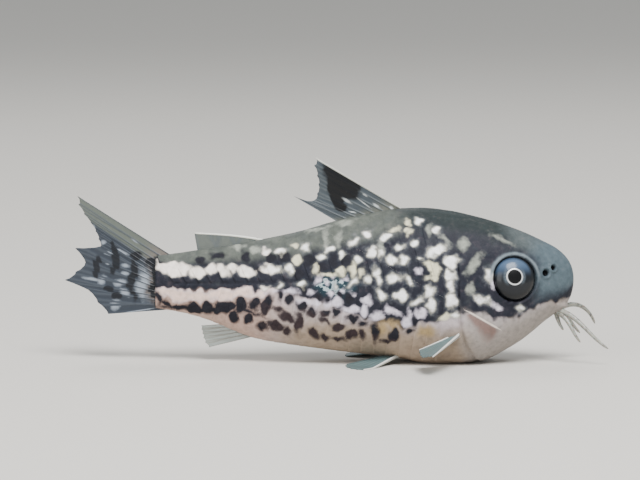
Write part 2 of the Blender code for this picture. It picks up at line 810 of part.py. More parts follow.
def main():
    """Builds the fish."""
    for old in list(bpy.data.objects):
        bpy.data.objects.remove(old)
    parts = bpy.data.collections.new("corydoras")
    cutters = bpy.data.collections.new("cutters")
    bpy.context.scene.collection.children.link(parts)
    bpy.context.scene.collection.children.link(cutters)

    make_head(parts, cutters)
    make_trunk(parts)
    make_tail(parts)
    make_eyes(parts)

    grown = [make_root_cutter(cutters)]
    fins = [make_dorsal_fin(parts), make_adipose_fin(parts), make_anal_fin(parts)]
    fins += make_tail_fin(parts)
    for side, word in ((-1, "right"), (1, "left")):
        fins.append(make_pectoral_fin(side, word, parts))
        fins.append(make_pelvic_fin(side, word, parts))
    for piece in fins:
        combine(piece, grown, "DIFFERENCE", cutters, keep_tools=True)

    lips = mouth_parts(GAP, cutters)
    lips.hide_render = True
    for barbel in make_barbels(parts):
        combine(barbel, grown + [lips], "DIFFERENCE", cutters, keep_tools=True)
    bpy.data.objects.remove(lips)


if __name__ == "__main__":
    main()
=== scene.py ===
"""Looks of a small spotted corydoras catfish at life size, at rest on its belly.

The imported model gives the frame: +X is the snout, +Y the fish's left and +Z up, and the
flat of the belly is at the origin. Forms are worked out in millimetres and become metres
where a mesh is made. Marks of the coat are placed by pixels of the photograph, which
shows the fish's right side, and the left side mirrors them.
"""

import json
import logging
import math
from dataclasses import dataclass
from enum import Enum

import bpy
import numpy as np
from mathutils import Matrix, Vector

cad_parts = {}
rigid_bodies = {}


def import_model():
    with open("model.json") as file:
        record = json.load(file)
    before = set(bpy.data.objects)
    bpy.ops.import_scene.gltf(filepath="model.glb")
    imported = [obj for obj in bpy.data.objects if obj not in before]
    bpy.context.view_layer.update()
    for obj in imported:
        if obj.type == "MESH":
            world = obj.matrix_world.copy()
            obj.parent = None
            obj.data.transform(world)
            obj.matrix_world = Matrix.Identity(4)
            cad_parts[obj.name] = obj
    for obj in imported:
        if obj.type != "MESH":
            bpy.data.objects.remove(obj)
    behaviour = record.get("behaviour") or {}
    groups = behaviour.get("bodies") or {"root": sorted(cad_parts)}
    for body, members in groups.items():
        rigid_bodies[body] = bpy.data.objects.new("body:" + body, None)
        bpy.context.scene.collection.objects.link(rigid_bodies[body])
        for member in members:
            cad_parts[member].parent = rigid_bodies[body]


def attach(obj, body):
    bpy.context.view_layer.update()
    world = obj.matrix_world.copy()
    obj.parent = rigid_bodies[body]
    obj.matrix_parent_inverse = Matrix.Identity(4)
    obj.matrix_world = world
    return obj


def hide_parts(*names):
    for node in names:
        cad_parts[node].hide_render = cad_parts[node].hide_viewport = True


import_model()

LOG = logging.getLogger("corydoras")
MM = 0.001
BODY = "root"
# Points closer than this are one, such as the two ends of a closed ring
MERGE_MM = 0.0004
# Least divisors, for a body or a mask that shrinks to nothing and for a length of nothing
LEAST = 0.01
TINY = 1e-9

# Millimetres back from the snout with a value there, a pixel or a place in a plane, and a
# place or a direction in space
Table = tuple[tuple[float, float], ...]
Place = tuple[float, float]
Spot = tuple[float, float, float]
# Where a ramp starts and where it ends
Ramp = tuple[float, float]
# Pixel x and y, half length and half width in pixels, and the tilt in degrees, up
# towards the snout
Mark = tuple[float, float, float, float, float]

# The photograph: millimetres a pixel at the fish, and the pixel of the frame's origin
PHOTO_SCALE = 0.1046
PHOTO_ORIGIN = (440.0, 362.0)
PHOTO_CENTRE = (320.0, 240.0)
PHOTO_WIDTH = 640
PHOTO_ELEVATION = math.radians(5.5)


class Side(Enum):
    """A side of the fish, by the sign of Y."""

    RIGHT = -1
    LEFT = 1


class Sheen(Enum):
    """How much of a mark's light comes back as from metal."""

    GUANINE = 0.08
    SCLERA = 0.6


class Noise(Enum):
    """Grain of the noise that breaks up a layer of colour, in millimetres."""

    EDGE = 0.55
    MOTTLE = 1.6
    SPECK = 0.6


def linear(colour: str) -> tuple[float, float, float, float]:
    """Linear colour of an sRGB hex value.

    Args:
        colour: Six hex digits after a hash sign.

    Returns:
        Red, green, blue and alpha, from 0 to 1.
    """
    shares = [int(colour[i : i + 2], 16) / 255 for i in (1, 3, 5)]
    turned = [s / 12.92 if s <= 0.04045 else ((s + 0.055) / 1.055) ** 2.4 for s in shares]
    return (*turned, 1.0)


def smooth(low: float, high: float, value: np.ndarray) -> np.ndarray:
    """Even ramp from 0 at low to 1 at high.

    Args:
        low: Value where the ramp starts.
        high: Value where it ends.
        value: Numbers to read it at.

    Returns:
        The ramp's height at each number.
    """
    share = np.clip((value - low) / (high - low), 0.0, 1.0)
    return share * share * (3 - 2 * share)


def ridge(value: np.ndarray, middle: np.ndarray | float, width: float) -> np.ndarray:
    """Smooth ridge of height 1 at the middle, which fades over the width."""
    return np.exp(-(((value - middle) / width) ** 2))


def zone(share: np.ndarray) -> np.ndarray:
    """Mask of a zone, from 0.5 outside it to -0.5 where its share is whole."""
    return 0.5 - share


def along(table: Table, back: np.ndarray) -> np.ndarray:
    """Smooth value of a table over the square root of the distance from the snout.

    Args:
        table: Pairs of millimetres back from the snout and the value there.
        back: Distances to read it at.

    Returns:
        The value at each distance.
    """
    knots = np.sqrt([entry[0] for entry in table])
    values = np.array([entry[1] for entry in table])
    steps = np.diff(knots)
    rises = np.diff(values) / steps
    slopes = np.concatenate([rises[:1], np.zeros(len(rises) - 1), rises[-1:]])
    before, after = rises[:-1], rises[1:]
    turning = before * after <= 0
    total = np.where(turning, 1.0, before + after)
    slopes[1:-1] = np.where(turning, 0.0, 2 * before * after / total)
    where = np.clip(np.sqrt(np.maximum(back, 0.0)), knots[0], knots[-1])
    low = np.clip(np.searchsorted(knots, where, side="right") - 1, 0, len(steps) - 1)
    share = (where - knots[low]) / steps[low]
    start, end = slopes[low] * steps[low], slopes[low + 1] * steps[low]
    rise = values[low + 1] - values[low]
    return (
        values[low]
        + start * share
        + (3 * rise - 2 * start - end) * share**2
        + (start + end - 2 * rise) * share**3
    )


def photo_place(pixel: Place) -> Place:
    """X and Z in millimetres of a pixel of the photograph."""
    x = (pixel[0] - PHOTO_ORIGIN[0]) * PHOTO_SCALE
    return x, (PHOTO_ORIGIN[1] - pixel[1]) * PHOTO_SCALE


def photo_height(places: np.ndarray) -> np.ndarray:
    """Heights at which the photograph's view shows places of the near side or its mirror."""
    toward = np.abs(places[..., 1])
    return places[..., 2] * math.cos(PHOTO_ELEVATION) - toward * math.sin(PHOTO_ELEVATION)


def line_of(points: tuple[Place, ...], x: np.ndarray) -> np.ndarray:
    """Height in millimetres of a line through pixels of the photograph.

    Args:
        points: Pixels from the tail towards the snout.
        x: Places along the fish, in millimetres.

    Returns:
        The line's height at each place.
    """
    places = [photo_place(pixel) for pixel in points]
    return np.interp(x, [place[0] for place in places], [place[1] for place in places])


def mark_reach(mark: Mark, u: np.ndarray, v: np.ndarray) -> np.ndarray:
    """How far points lie from the middle of a mark, with 1 on its edge.

    Args:
        mark: The mark.
        u: Millimetres ahead of its middle.
        v: Millimetres above its middle.

    Returns:
        The distance of each point.
    """
    _, _, long, wide, tilt = mark
    turn = math.radians(tilt)
    first = (u * math.cos(turn) + v * math.sin(turn)) / (long * PHOTO_SCALE)
    second = (v * math.cos(turn) - u * math.sin(turn)) / (wide * PHOTO_SCALE)
    return np.hypot(first, second)


def deselect_all() -> None:
    """Leaves nothing selected, for the operators that act on a selection."""
    for shown in bpy.context.view_layer.objects:
        shown.select_set(False)


def write_masks(piece: bpy.types.Object, masks: dict[str, np.ndarray]) -> None:
    """Keeps numbers for every point on a mesh, for its material to read.

    Args:
        piece: The piece.
        masks: Numbers by name, in the order of its points.
    """
    for mask, values in masks.items():
        attribute = piece.data.attributes.new(mask, "FLOAT", "POINT")
        attribute.data.foreach_set("value", np.asarray(values, np.float32).ravel())


def sleeve(rings: np.ndarray) -> np.ndarray:
    """Rings with their first point repeated at the end, so that they close."""
    return np.concatenate([rings, rings[:, :1]], axis=1)


def ring_mesh(name: str, rings: np.ndarray, masks: dict[str, np.ndarray]) -> bpy.types.Object:
    """A grid shaped to closed rings, with what coincides merged.

    Args:
        name: Name of the piece.
        rings: Rings by points of places, in millimetres.
        masks: Numbers by name for every point, which the materials read.

    Returns:
        The piece, with its faces turned out.
    """
    points = sleeve(rings)
    rows, columns = points.shape[:2]
    deselect_all()
    bpy.ops.mesh.primitive_grid_add(x_subdivisions=columns - 1, y_subdivisions=rows - 1)
    piece = bpy.context.object
    piece.name = piece.data.name = name
    piece.data.vertices.foreach_set("co", (points * MM).astype(np.float32).ravel())
    write_masks(piece, {mask: sleeve(values) for mask, values in masks.items()})
    bpy.ops.object.mode_set(mode="EDIT")
    bpy.ops.mesh.select_all(action="SELECT")
    bpy.ops.mesh.remove_doubles(threshold=MERGE_MM * MM)
    bpy.ops.mesh.normals_make_consistent(inside=False)
    bpy.ops.object.mode_set(mode="OBJECT")
    bpy.ops.object.shade_smooth()
    return piece


def add(
    tree: bpy.types.NodeTree, kind: str, links: dict | None = None, **settings: object
) -> bpy.types.Node:
    """Adds a node with its settings and links.

    Args:
        tree: The material's node tree.
        kind: The node's type.
        links: Input name or number to a value or to another node's output.
        **settings: Properties of the node itself.

    Returns:
        The new node.
    """
    node = tree.nodes.new(kind)
    for name, value in settings.items():
        setattr(node, name, value)
    for socket, value in (links or {}).items():
        if isinstance(value, bpy.types.NodeSocket):
            tree.links.new(value, node.inputs[socket])
        else:
            node.inputs[socket].default_value = value
    return node


def fresh_material(name: str) -> tuple[bpy.types.Material, bpy.types.NodeTree, bpy.types.Node]:
    """An empty material with a Principled shader on its output.

    Args:
        name: Name of the material.

    Returns:
        The material, its node tree and its shader node.
    """
    material = bpy.data.materials.new(name)
    material.use_nodes = True
    tree = material.node_tree
    tree.nodes.clear()
    shader = add(tree, "ShaderNodeBsdfPrincipled")
    add(tree, "ShaderNodeOutputMaterial", {"Surface": shader.outputs[0]})
    return material, tree, shader


@dataclass(frozen=True)
class Gloss:
    """How a surface shines: its own sheen, and the clear film over it."""

    roughness: float
    specular: float = 0.5
    coat: float = 0.0
    coat_roughness: float = 0.03

    def polish(self, shader: bpy.types.Node) -> None:
        """Sets a shader's own sockets, which are alike all over the surface.

        Args:
            shader: The Principled shader.
        """
        for socket, value in (
            ("Roughness", self.roughness),
            ("Specular IOR Level", self.specular),
            ("Coat Weight", self.coat),
            ("Coat Roughness", self.coat_roughness),
        ):
            shader.inputs[socket].default_value = value


def dress(piece: bpy.types.Object, material: bpy.types.Material) -> None:
    """Gives a piece its only material."""
    piece.data.materials.clear()
    piece.data.materials.append(material)


def hand_over(piece: bpy.types.Object, slot: str, *nodes: str) -> None:
    """Puts a finished piece on the body in place of CAD nodes.

    Args:
        piece: The finished piece.
        slot: The record's material slot, which is not used.
        *nodes: The nodes that the piece stands for.
    """
    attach(piece, BODY)
    if nodes:
        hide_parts(*nodes)
    faces = sum(len(polygon.vertices) - 2 for polygon in piece.data.polygons)
    LOG.info("%s: %d triangles", piece.name, faces)


@dataclass(frozen=True)
class BodyForm:
    """The fish's form as tables of millimetres back from the snout, as in its solids."""

    snout_x: float = 14.0
    length: float = 43.8
    top: Table = (
        (0.0, 8.7), (0.4, 10.4), (1.8, 11.9), (3.3, 12.7), (5.5, 13.7), (7.7, 14.5),
        (10.5, 15.3), (13.3, 15.9), (16.0, 16.15), (18.1, 16.1), (21.3, 15.6), (25.0, 14.75),
        (28.6, 13.7), (32.2, 12.9), (34.9, 12.35), (39.3, 11.65), (41.5, 11.3), (43.8, 11.0),
    )
    bottom: Table = (
        (0.0, 8.7), (0.2, 7.2), (0.6, 6.3), (1.5, 5.4), (3.0, 4.3), (4.3, 3.2),
        (5.6, 2.2), (7.2, 1.25), (8.7, 0.55), (10.3, 0.05), (12.0, -0.15), (14.0, -0.18),
        (16.0, -0.02), (18.1, 0.4), (21.3, 0.8), (25.0, 1.2), (30.7, 1.95), (33.2, 2.4),
        (35.0, 3.0), (37.2, 3.9), (39.0, 4.55), (41.2, 5.1), (43.8, 5.5),
    )
    half_width: Table = (
        (0.0, 0.0), (0.4, 1.15), (1.2, 1.95), (2.5, 2.75), (4.5, 3.6), (6.2, 4.2),
        (9.0, 4.95), (12.0, 5.5), (14.0, 5.6), (17.0, 5.4), (21.0, 4.95), (26.0, 4.15),
        (31.0, 3.15), (36.0, 2.2), (40.0, 1.55), (43.8, 1.0),
    )
    widest: Table = ((0.0, 0.5), (3.0, 0.45), (8.0, 0.4), (20.0, 0.38), (34.0, 0.44), (43.8, 0.5))
    back_fullness: Table = ((0.0, 2.1), (6.0, 2.2), (14.0, 1.85), (30.0, 1.8), (43.8, 2.0))
    belly_fullness: Table = ((0.0, 2.1), (6.0, 2.3), (14.0, 2.7), (25.0, 2.5), (43.8, 2.0))
    lateral_line: Table = (
        (0.0, 8.7), (6.0, 9.2), (14.0, 9.3), (25.0, 8.9), (35.0, 8.4), (43.8, 8.2),
    )
    sway_start: float = 22.0
    sway_rate: float = 0.0024
    # Step over which the skin's facing is measured, and the line's shares of the height
    probe: float = 0.05
    line_within: Ramp = (0.02, 0.98)

    def sway(self, back: np.ndarray) -> np.ndarray:
        """Sideways place of the middle plane, since the tail is carried to the left."""
        return self.sway_rate * np.maximum(back - self.sway_start, 0.0) ** 2

    def section(self, back: np.ndarray) -> tuple[np.ndarray, ...]:
        """Heights and half width of the body.

        Args:
            back: Distances back from the snout.

        Returns:
            The heights of the back, of the widest place and of the belly, and half
            the width.
        """
        top, bottom = along(self.top, back), along(self.bottom, back)
        middle = bottom + along(self.widest, back) * (top - bottom)
        return top, middle, bottom, along(self.half_width, back)

    def angle(self, share: np.ndarray, back: np.ndarray) -> np.ndarray:
        """Angle from the back of a column of the skin.

        Args:
            share: 0 at the back, 1 at the lateral line and 2 at the belly.
            back: Distances back from the snout.

        Returns:
            Angles in radians.
        """
        top, middle, _, _ = self.section(back)
        height = (along(self.lateral_line, back) - middle) / np.maximum(top - middle, LEAST)
        power = along(self.back_fullness, back) / 2
        line = np.arccos(np.clip(height, *self.line_within) ** power)
        return np.where(share <= 1, share * line, line + (share - 1) * (math.pi - line))

    def skin(self, back: np.ndarray, angle: np.ndarray) -> np.ndarray:
        """Places on the skin, in millimetres.

        Args:
            back: Distances back from the snout.
            angle: Angles from the back, positive on the right side.

        Returns:
            X, Y and Z along the last axis.
        """
        top, middle, bottom, half_width = self.section(back)
        rise, side = np.cos(angle), np.sin(angle)
        upper = rise >= 0
        fullness = np.where(
            upper, along(self.back_fullness, back), along(self.belly_fullness, back)
        )
        across = -np.sign(side) * np.abs(side) ** (2 / fullness) * half_width
        reach = np.where(upper, top - middle, bottom - middle)
        height = middle + np.abs(rise) ** (2 / fullness) * reach
        return np.stack([self.snout_x - back, across + self.sway(back), height], axis=-1)

    def flank(self, back: float, height: float, side: Side) -> np.ndarray:
        """Place on the skin at a height on one side.

        Args:
            back: Distance back from the snout.
            height: Height above the floor.
            side: The side of the fish.

        Returns:
            X, Y and Z in millimetres.
        """
        top, middle, bottom, half_width = (float(v) for v in self.section(np.array(back)))
        if height >= middle:
            share, table = (height - middle) / (top - middle), self.back_fullness
        else:
            share, table = (middle - height) / (middle - bottom), self.belly_fullness
        power = float(along(table, np.array(back)))
        across = half_width * max(1 - share**power, 0.0) ** (1 / power)
        sway = float(self.sway(np.array(back)))
        return np.array([self.snout_x - back, side.value * across + sway, height])

    def outward(self, back: float, height: float, side: Side) -> np.ndarray:
        """Direction that the skin faces at a height on one side.

        Args:
            back: Distance back from the snout.
            height: Height above the floor.
            side: The side of the fish.

        Returns:
            A direction of length 1.
        """
        here = self.flank(back, height, side)
        upward = self.flank(back, height + self.probe, side) - here
        forward = self.flank(back - self.probe, height, side) - here
        facing = np.cross(forward, upward)
        facing /= np.linalg.norm(facing)
        return facing if facing[1] * side.value > 0 else -facing


@dataclass(frozen=True)
class PlateForm:
    """The two rows of overlapping bony plates on each side, in millimetres.

    Shares run round the skin, from 0 at the back to 1 at the lateral line and 2 at the
    belly.
    """

    first: float = 13.6
    pitch: float = 1.29
    count: int = 23
    lift: float = 0.15
    lean_back: float = 1.5
    lean_belly: float = 1.2
    lean_full: float = 1.3
    groove: float = 0.045
    # The bare belly, and the distance back where the plates close over it
    bare: Ramp = (0.72, 0.84)
    bare_ends: Ramp = (27.0, 30.0)
    # The plates are faint along the back and flatter low on the side
    faint: float = 0.2
    faint_from: Ramp = (0.0, 0.1)
    clear_from: Ramp = (0.6, 0.97)
    flat: float = 0.75
    flat_from: Ramp = (1.45, 1.95)
    edge: Ramp = (0.965, 1.0)
    steps: tuple[float, ...] = (0.0, 0.04, 0.1, 0.2, 0.32, 0.44, 0.56, 0.68, 0.8, 0.9, 0.96)

    def start(self) -> float:
        """Place back from the snout where the plates start."""
        return self.first - self.lean_back

    def lean(self, share: np.ndarray) -> np.ndarray:
        """How far a plate's edge falls back above and below the lateral line.

        Args:
            share: Places round the skin.

        Returns:
            Millimetres back.
        """
        away = np.minimum(np.abs(1 - share) * self.lean_full, 1.0)
        reach = np.where(share < 1, self.lean_back, self.lean_belly)
        return reach * np.sin(math.pi / 2 * away)

    def covered(self, share: np.ndarray, back: np.ndarray) -> np.ndarray:
        """How much plates stand out, with none in the groove and on the bare belly.

        Args:
            share: Places round the skin.
            back: Distances back from the snout.

        Returns:
            0 on bare skin to 1 where the plates are whole.
        """
        groove = smooth(0.0, self.groove, np.abs(1 - share))
        bare = smooth(*self.bare, share - 1)
        whole = smooth(*self.bare_ends, back)
        clear = (1 - self.faint) * smooth(*self.clear_from, share)
        crown = self.faint * smooth(*self.faint_from, share) + clear
        keel = 1 - self.flat * smooth(*self.flat_from, share)
        return groove * crown * keel * np.maximum(1 - bare, whole)

    def relief(self, row: np.ndarray, share: np.ndarray, back: np.ndarray) -> np.ndarray:
        """Height of the plates, which rise to a free hind edge that steps down.

        Args:
            row: Places of the skin's rows.
            share: Places round the skin.
            back: Distances back from the snout.

        Returns:
            Millimetres above the plain form.
        """
        number = (row - self.start()) / self.pitch
        phase = number - np.floor(number)
        rise = phase * (1 - smooth(*self.edge, phase))
        inside = (number >= 0) & (number < self.count)
        return np.where(inside, self.lift * rise, 0.0) * self.covered(share, back)


@dataclass(frozen=True)
class GillForm:
    """The gill cover's edge and how it leads into the plates, in millimetres."""

    top: float = 10.4
    reach: float = 1.7
    throat: float = 9.6
    throat_from: Ramp = (1.2, 2.0)
    cover_lift: float = 0.24
    # Where the cover rises and where its fold ends, from the edge's top
    cover: Ramp = (-3.2, -0.5)
    fold: Ramp = (-0.1, 0.12)
    slot: float = 0.11
    slot_behind: float = 0.22
    slot_wide: float = 0.16
    upper_end: Ramp = (0.5, 1.15)
    lower_end: Ramp = (1.5, 1.9)
    lower_loss: float = 0.55

    def lean(self, share: np.ndarray) -> np.ndarray:
        """How far the edge lies behind its top at each place round the skin."""
        bulge = self.reach * np.sin(math.pi * np.minimum(share / 2, 1.0)) ** 1.5
        return bulge + (self.throat - self.top) * smooth(*self.throat_from, share)

    def relief(self, row: np.ndarray, share: np.ndarray) -> np.ndarray:
        """Height of the gill cover, which ends in a fold behind.

        Args:
            row: Places of the skin's rows.
            share: Places round the skin.

        Returns:
            Millimetres above the plain form.
        """
        rise = smooth(self.top + self.cover[0], self.top + self.cover[1], row)
        fold = 1 - smooth(self.top + self.fold[0], self.top + self.fold[1], row)
        dip = ridge(row, self.top + self.slot_behind, self.slot_wide)
        below = 1 - self.lower_loss * smooth(*self.lower_end, share)
        ends = smooth(*self.upper_end, share) * below
        return (self.cover_lift * rise * fold - self.slot * dip) * ends


@dataclass(frozen=True)
class EyeForm:
    """Where the eyes sit and how large their parts are, in millimetres."""

    back: float = 6.3
    height: float = 9.1
    radius: float = 2.25
    depth: float = 1.3
    sink: float = 0.4
    rim: float = 2.5
    rim_wide: float = 0.24
    rim_lift: float = 0.17
    # The pit that the globe fills, and the lid over its upper edge
    orbit: Ramp = (2.42, 2.2)
    orbit_deep: float = 1.0
    lid_out: float = 0.12
    lid_wide: float = 0.2
    lid_upper: Ramp = (-0.6, 1.0)
    # Beyond this distance from the globe the eye shapes nothing
    near: Ramp = (4.5, 3.6)

    def place(self, form: BodyForm, side: Side) -> tuple[np.ndarray, np.ndarray]:
        """Centre of the globe and the way it faces."""
        facing = form.outward(self.back, self.height, side)
        return form.flank(self.back, self.height, side) - facing * self.sink, facing

    def around(
        self, form: BodyForm, side: Side, places: np.ndarray
    ) -> tuple[np.ndarray, np.ndarray, np.ndarray]:
        """How skin points lie round an eye.

        Args:
            form: The body's form.
            side: The side of the fish.
            places: Skin points, in millimetres.

        Returns:
            Distances from the eye's axis, heights above its centre, and 1 near it
            down to 0 away from it.
        """
        centre, facing = self.place(form, side)
        off = places - centre
        reach = np.linalg.norm(off - (off @ facing)[..., None] * facing, axis=-1)
        return reach, off[..., 2], smooth(*self.near, np.linalg.norm(off, axis=-1))

    def relief(self, form: BodyForm, places: np.ndarray) -> np.ndarray:
        """Rims round both eyes and the orbits inside them.

        Args:
            form: The body's form.
            places: Skin points, in millimetres.

        Returns:
            Millimetres above the plain form.
        """
        found = np.zeros(places.shape[:2])
        for side in Side:
            reach, _, near = self.around(form, side, places)
            found += self.rim_lift * ridge(reach, self.rim, self.rim_wide) * near
            found -= self.orbit_deep * smooth(*self.orbit, reach) * near
        return found

    def lids(self, form: BodyForm, places: np.ndarray) -> np.ndarray:
        """The paler rim over each eye.

        Args:
            form: The body's form.
            places: Skin points, in millimetres.

        Returns:
            1 on the rim down to 0 off it.
        """
        found = np.zeros(places.shape[:2])
        for side in Side:
            reach, height, near = self.around(form, side, places)
            ring = ridge(reach, self.rim + self.lid_out, self.lid_wide)
            found += ring * smooth(*self.lid_upper, height) * near
        return found


@dataclass(frozen=True)
class MouthForm:
    """The small mouth under the snout and the nostrils, in millimetres."""

    place: Spot = (12.68, 0.0, 5.68)
    facing: Spot = (0.62, 0.0, -0.785)
    near_ahead: Ramp = (2.0, 1.2)
    near_round: Ramp = (2.4, 1.8)
    half_width: float = 1.3
    half_height: float = 0.55
    lip: float = 0.3
    lip_ring: float = 1.05
    lip_wide: float = 0.36
    slot: float = 0.55
    slot_wide: float = 0.14
    slot_bend: float = 0.12
    corners: Ramp = (1.15, 0.8)
    # Distance back, height and radius of each nostril
    nostrils: tuple[Spot, ...] = ((3.05, 9.6, 0.46), (2.25, 10.1, 0.36))
    nostril_rim: float = 0.16
    nostril_rim_out: float = 0.05
    nostril_rim_wide: float = 0.14
    nostril_wall: Ramp = (0.95, 0.5)
    nostril_deep: float = 0.4

    def relief(self, places: np.ndarray) -> np.ndarray:
        """Rolls of the lips with the line of the mouth between them.

        Args:
            places: Skin points, in millimetres.

        Returns:
            Millimetres above the plain form.
        """
        off = places - np.array(self.place)
        facing = np.array(self.facing)
        upward = np.array([-facing[2], 0.0, facing[0]])
        ahead = smooth(*self.near_ahead, np.abs(off @ facing))
        near = ahead * smooth(*self.near_round, np.linalg.norm(off, axis=-1))
        across, height = off[..., 1], off @ upward
        ring = np.hypot(across / self.half_width, height / self.half_height)
        lips = self.lip * ridge(ring, self.lip_ring, self.lip_wide)
        bend = height + self.slot_bend * (across / self.half_width) ** 2
        line = self.slot * ridge(bend, 0.0, self.slot_wide) * smooth(*self.corners, np.abs(across))
        return (lips - line) * near

    def pits(self, form: BodyForm, points: np.ndarray) -> tuple[np.ndarray, np.ndarray]:
        """The nostrils of both sides: their raised rims and how deep their pits are.

        Args:
            form: The body's form, on which they lie.
            points: Skin points, in millimetres.

        Returns:
            The rims' height and the pits' share, from 0 to 1.
        """
        rims, pits = np.zeros(points.shape[:2]), np.zeros(points.shape[:2])
        for side in Side:
            for back, height, radius in self.nostrils:
                reach = np.linalg.norm(points - form.flank(back, height, side), axis=-1)
                rim = ridge(reach, radius + self.nostril_rim_out, self.nostril_rim_wide)
                rims = np.maximum(rims, self.nostril_rim * rim)
                outer, inner = (radius * wall for wall in self.nostril_wall)
                pits = np.maximum(pits, smooth(outer, inner, reach))
        return rims, pits


# Marks on the right side by pixel of the photograph. These are bright and metallic, except one
# streak on the gill cover, which is a painted highlight.
SILVER_MARKS_AND_GLINT: tuple[Mark, ...] = (
    (449.7, 261, 7.6, 6.3, 0), (367, 235.5, 5.3, 5.4, 0), (353.5, 242, 5.6, 3.0, 75),
    (343, 255, 3.3, 3.5, 0), (385.5, 238, 4.6, 4.9, 0), (419, 221, 3.4, 4.0, 0),
    (399.5, 247.3, 3.9, 3.6, 0), (413, 243.8, 4.8, 4.6, 0), (371, 253.5, 4.6, 5.9, 0),
    (379.5, 253.5, 2.6, 5.6, 0), (374, 248.6, 6.0, 2.2, 0), (391, 260.5, 7.2, 5.4, -32),
    (403, 261.5, 4.0, 3.6, 0), (357.6, 259, 3.7, 3.7, 0), (419, 258, 3.1, 2.6, 0),
    (435.5, 250.3, 10.6, 4.7, 32), (436.5, 231, 3.6, 3.6, 0), (448.9, 276, 5.4, 5.6, 0),
    (450.2, 286, 3.8, 6.0, 0), (450.3, 298, 4.5, 8.0, 0), (428.4, 293.5, 5.0, 6.0, 0),
    (430, 304, 5.4, 8.2, 0), (393.5, 278.8, 7.6, 4.4, 15), (408.5, 279, 6.4, 3.1, -42),
    (374, 273.6, 4.0, 4.8, 0), (367.6, 280.8, 5.2, 2.7, 55), (377, 280.5, 5.0, 2.3, -70),
    (381.3, 296, 8.6, 4.4, -40), (400.5, 297, 6.3, 5.5, 0), (415.5, 302.3, 6.8, 3.3, 20),
    (265.5, 250, 4.6, 4.0, 0), (281.5, 250.8, 5.0, 3.6, 0), (305, 246.7, 3.0, 5.0, 0),
    (320, 257.6, 5.2, 3.8, 20), (329.5, 251.3, 5.0, 3.9, 28), (289.5, 267.6, 7.2, 4.4, -64),
    (302, 283.4, 4.6, 3.8, -15), (353, 283, 6.4, 2.5, 52), (336, 286, 2.9, 2.4, 0),
    # The streak at pixel 481, 299 is that painted highlight on the gill cover
    (265.5, 286.6, 4.2, 3.0, 0), (279, 287, 3.5, 2.4, 0), (481, 299, 8.0, 2.9, -24),
    (520, 307.4, 4.2, 3.3, 0), (486.6, 273.5, 6.4, 3.2, 84), (453, 313.6, 5.2, 3.1, 10),
    (173, 271.5, 16.2, 8.2, 0), (198, 273.6, 9.8, 6.6, 0), (211.5, 269.6, 6.6, 6.8, 0),
    (223, 271, 7.8, 4.0, -45), (232.6, 267.6, 5.0, 4.6, -30), (246, 273.4, 9.6, 5.2, -12),
    (271, 270, 11.0, 4.4, -8),
)
# Yellower, duller ones
GOLD_MARKS: tuple[Mark, ...] = (
    (393.3, 231, 5.2, 2.8, 8), (407.6, 223.6, 3.3, 3.3, 0), (408.4, 229.4, 3.3, 3.2, 0),
    (429.8, 265.6, 6.2, 3.6, -36), (434.4, 273.4, 3.9, 6.0, 0), (429.6, 279, 5.0, 2.8, 0),
    (294.5, 246.4, 3.6, 2.5, 0), (298, 261.6, 4.4, 4.8, 0), (316, 269.6, 2.7, 3.8, 0),
    (342, 271.3, 5.2, 3.3, 0), (330, 275, 8.0, 1.9, 0), (354, 268, 2.8, 6.8, 0),
    (443.8, 316.6, 5.0, 2.8, 8), (361, 273, 2.2, 4.0, 0),
)
# Cooler marks, white to lilac, with a soft pearl sheen
LILAC_MARKS: tuple[Mark, ...] = (
    (319, 280.5, 4.2, 2.0, 45), (326.5, 283, 2.0, 1.5, 0), (331.5, 278, 2.2, 1.4, 0),
    (330.5, 293, 4.2, 2.4, 0), (289.5, 292, 7.6, 2.5, 0), (304.5, 299.5, 5.6, 3.2, 0),
    (328, 305.5, 4.6, 4.6, 0), (338.5, 302.6, 5.6, 3.8, 0), (315.5, 303, 4.6, 3.4, 0),
    (366.5, 300.4, 5.6, 4.8, -30), (351, 308.6, 7.2, 3.8, -22), (363, 314, 4.5, 4.8, 0),
    (376, 313.4, 6.4, 4.7, 20), (392.6, 309.6, 8.0, 3.3, -42), (419.6, 316, 6.3, 5.3, 0),
    (417.5, 273, 4.8, 3.2, 0), (494.5, 306, 5.4, 2.6, -34),
    (491, 284.5, 5.0, 2.4, -62), (406, 323.6, 4.4, 4.3, 0), (407.5, 310.5, 2.6, 4.2, 0),
    (168, 295.4, 11.0, 5.4, -10), (182, 298, 10.0, 7.8, 0), (201, 296, 14.0, 6.2, 0),
    (222, 295.4, 14.0, 5.8, 0), (243, 294.4, 12.0, 4.8, 0), (262, 293.4, 9.0, 3.4, 0),
    (275, 291.4, 6.0, 2.6, 0), (353, 292, 2.4, 1.7, 0), (344, 290.6, 3.0, 1.8, 0),
    (346, 278, 2.6, 1.6, 0), (311, 289.6, 3.4, 1.8, 0),
)
# Dull greyish marks, half sunk in the skin, and a painted highlight as a grey smear on the top of
# the head
DUSKY_MARKS_AND_GLINT: tuple[Mark, ...] = (
    (428.6, 232, 3.5, 5.0, 0), (444.6, 238, 6.2, 2.5, -52), (381, 247, 2.4, 4.6, 0),
    (237.5, 247, 5.4, 4.4, 0), (255, 250.4, 5.0, 4.4, 0), (345, 223, 8.6, 4.4, 6),
    (318, 229.6, 8.0, 1.9, 8), (326.5, 238, 2.2, 8.0, 0), (339, 240, 1.8, 7.0, 0),
    # The smear at pixel 500.6, 240.4 is that painted highlight
    (500.6, 240.4, 8.0, 1.8, -32), (462, 243.5, 5.4, 6.3, 0), (471.5, 264, 12.0, 4.4, 52),
    (468, 288, 5.4, 6.0, 0),
)
# Ochre patches low behind the head
OCHRE_MARKS: tuple[Mark, ...] = (
    (425, 331, 9.0, 6.0, 0), (391.6, 324, 7.6, 4.6, -15), (381, 327.4, 5.2, 8.4, 0),
)
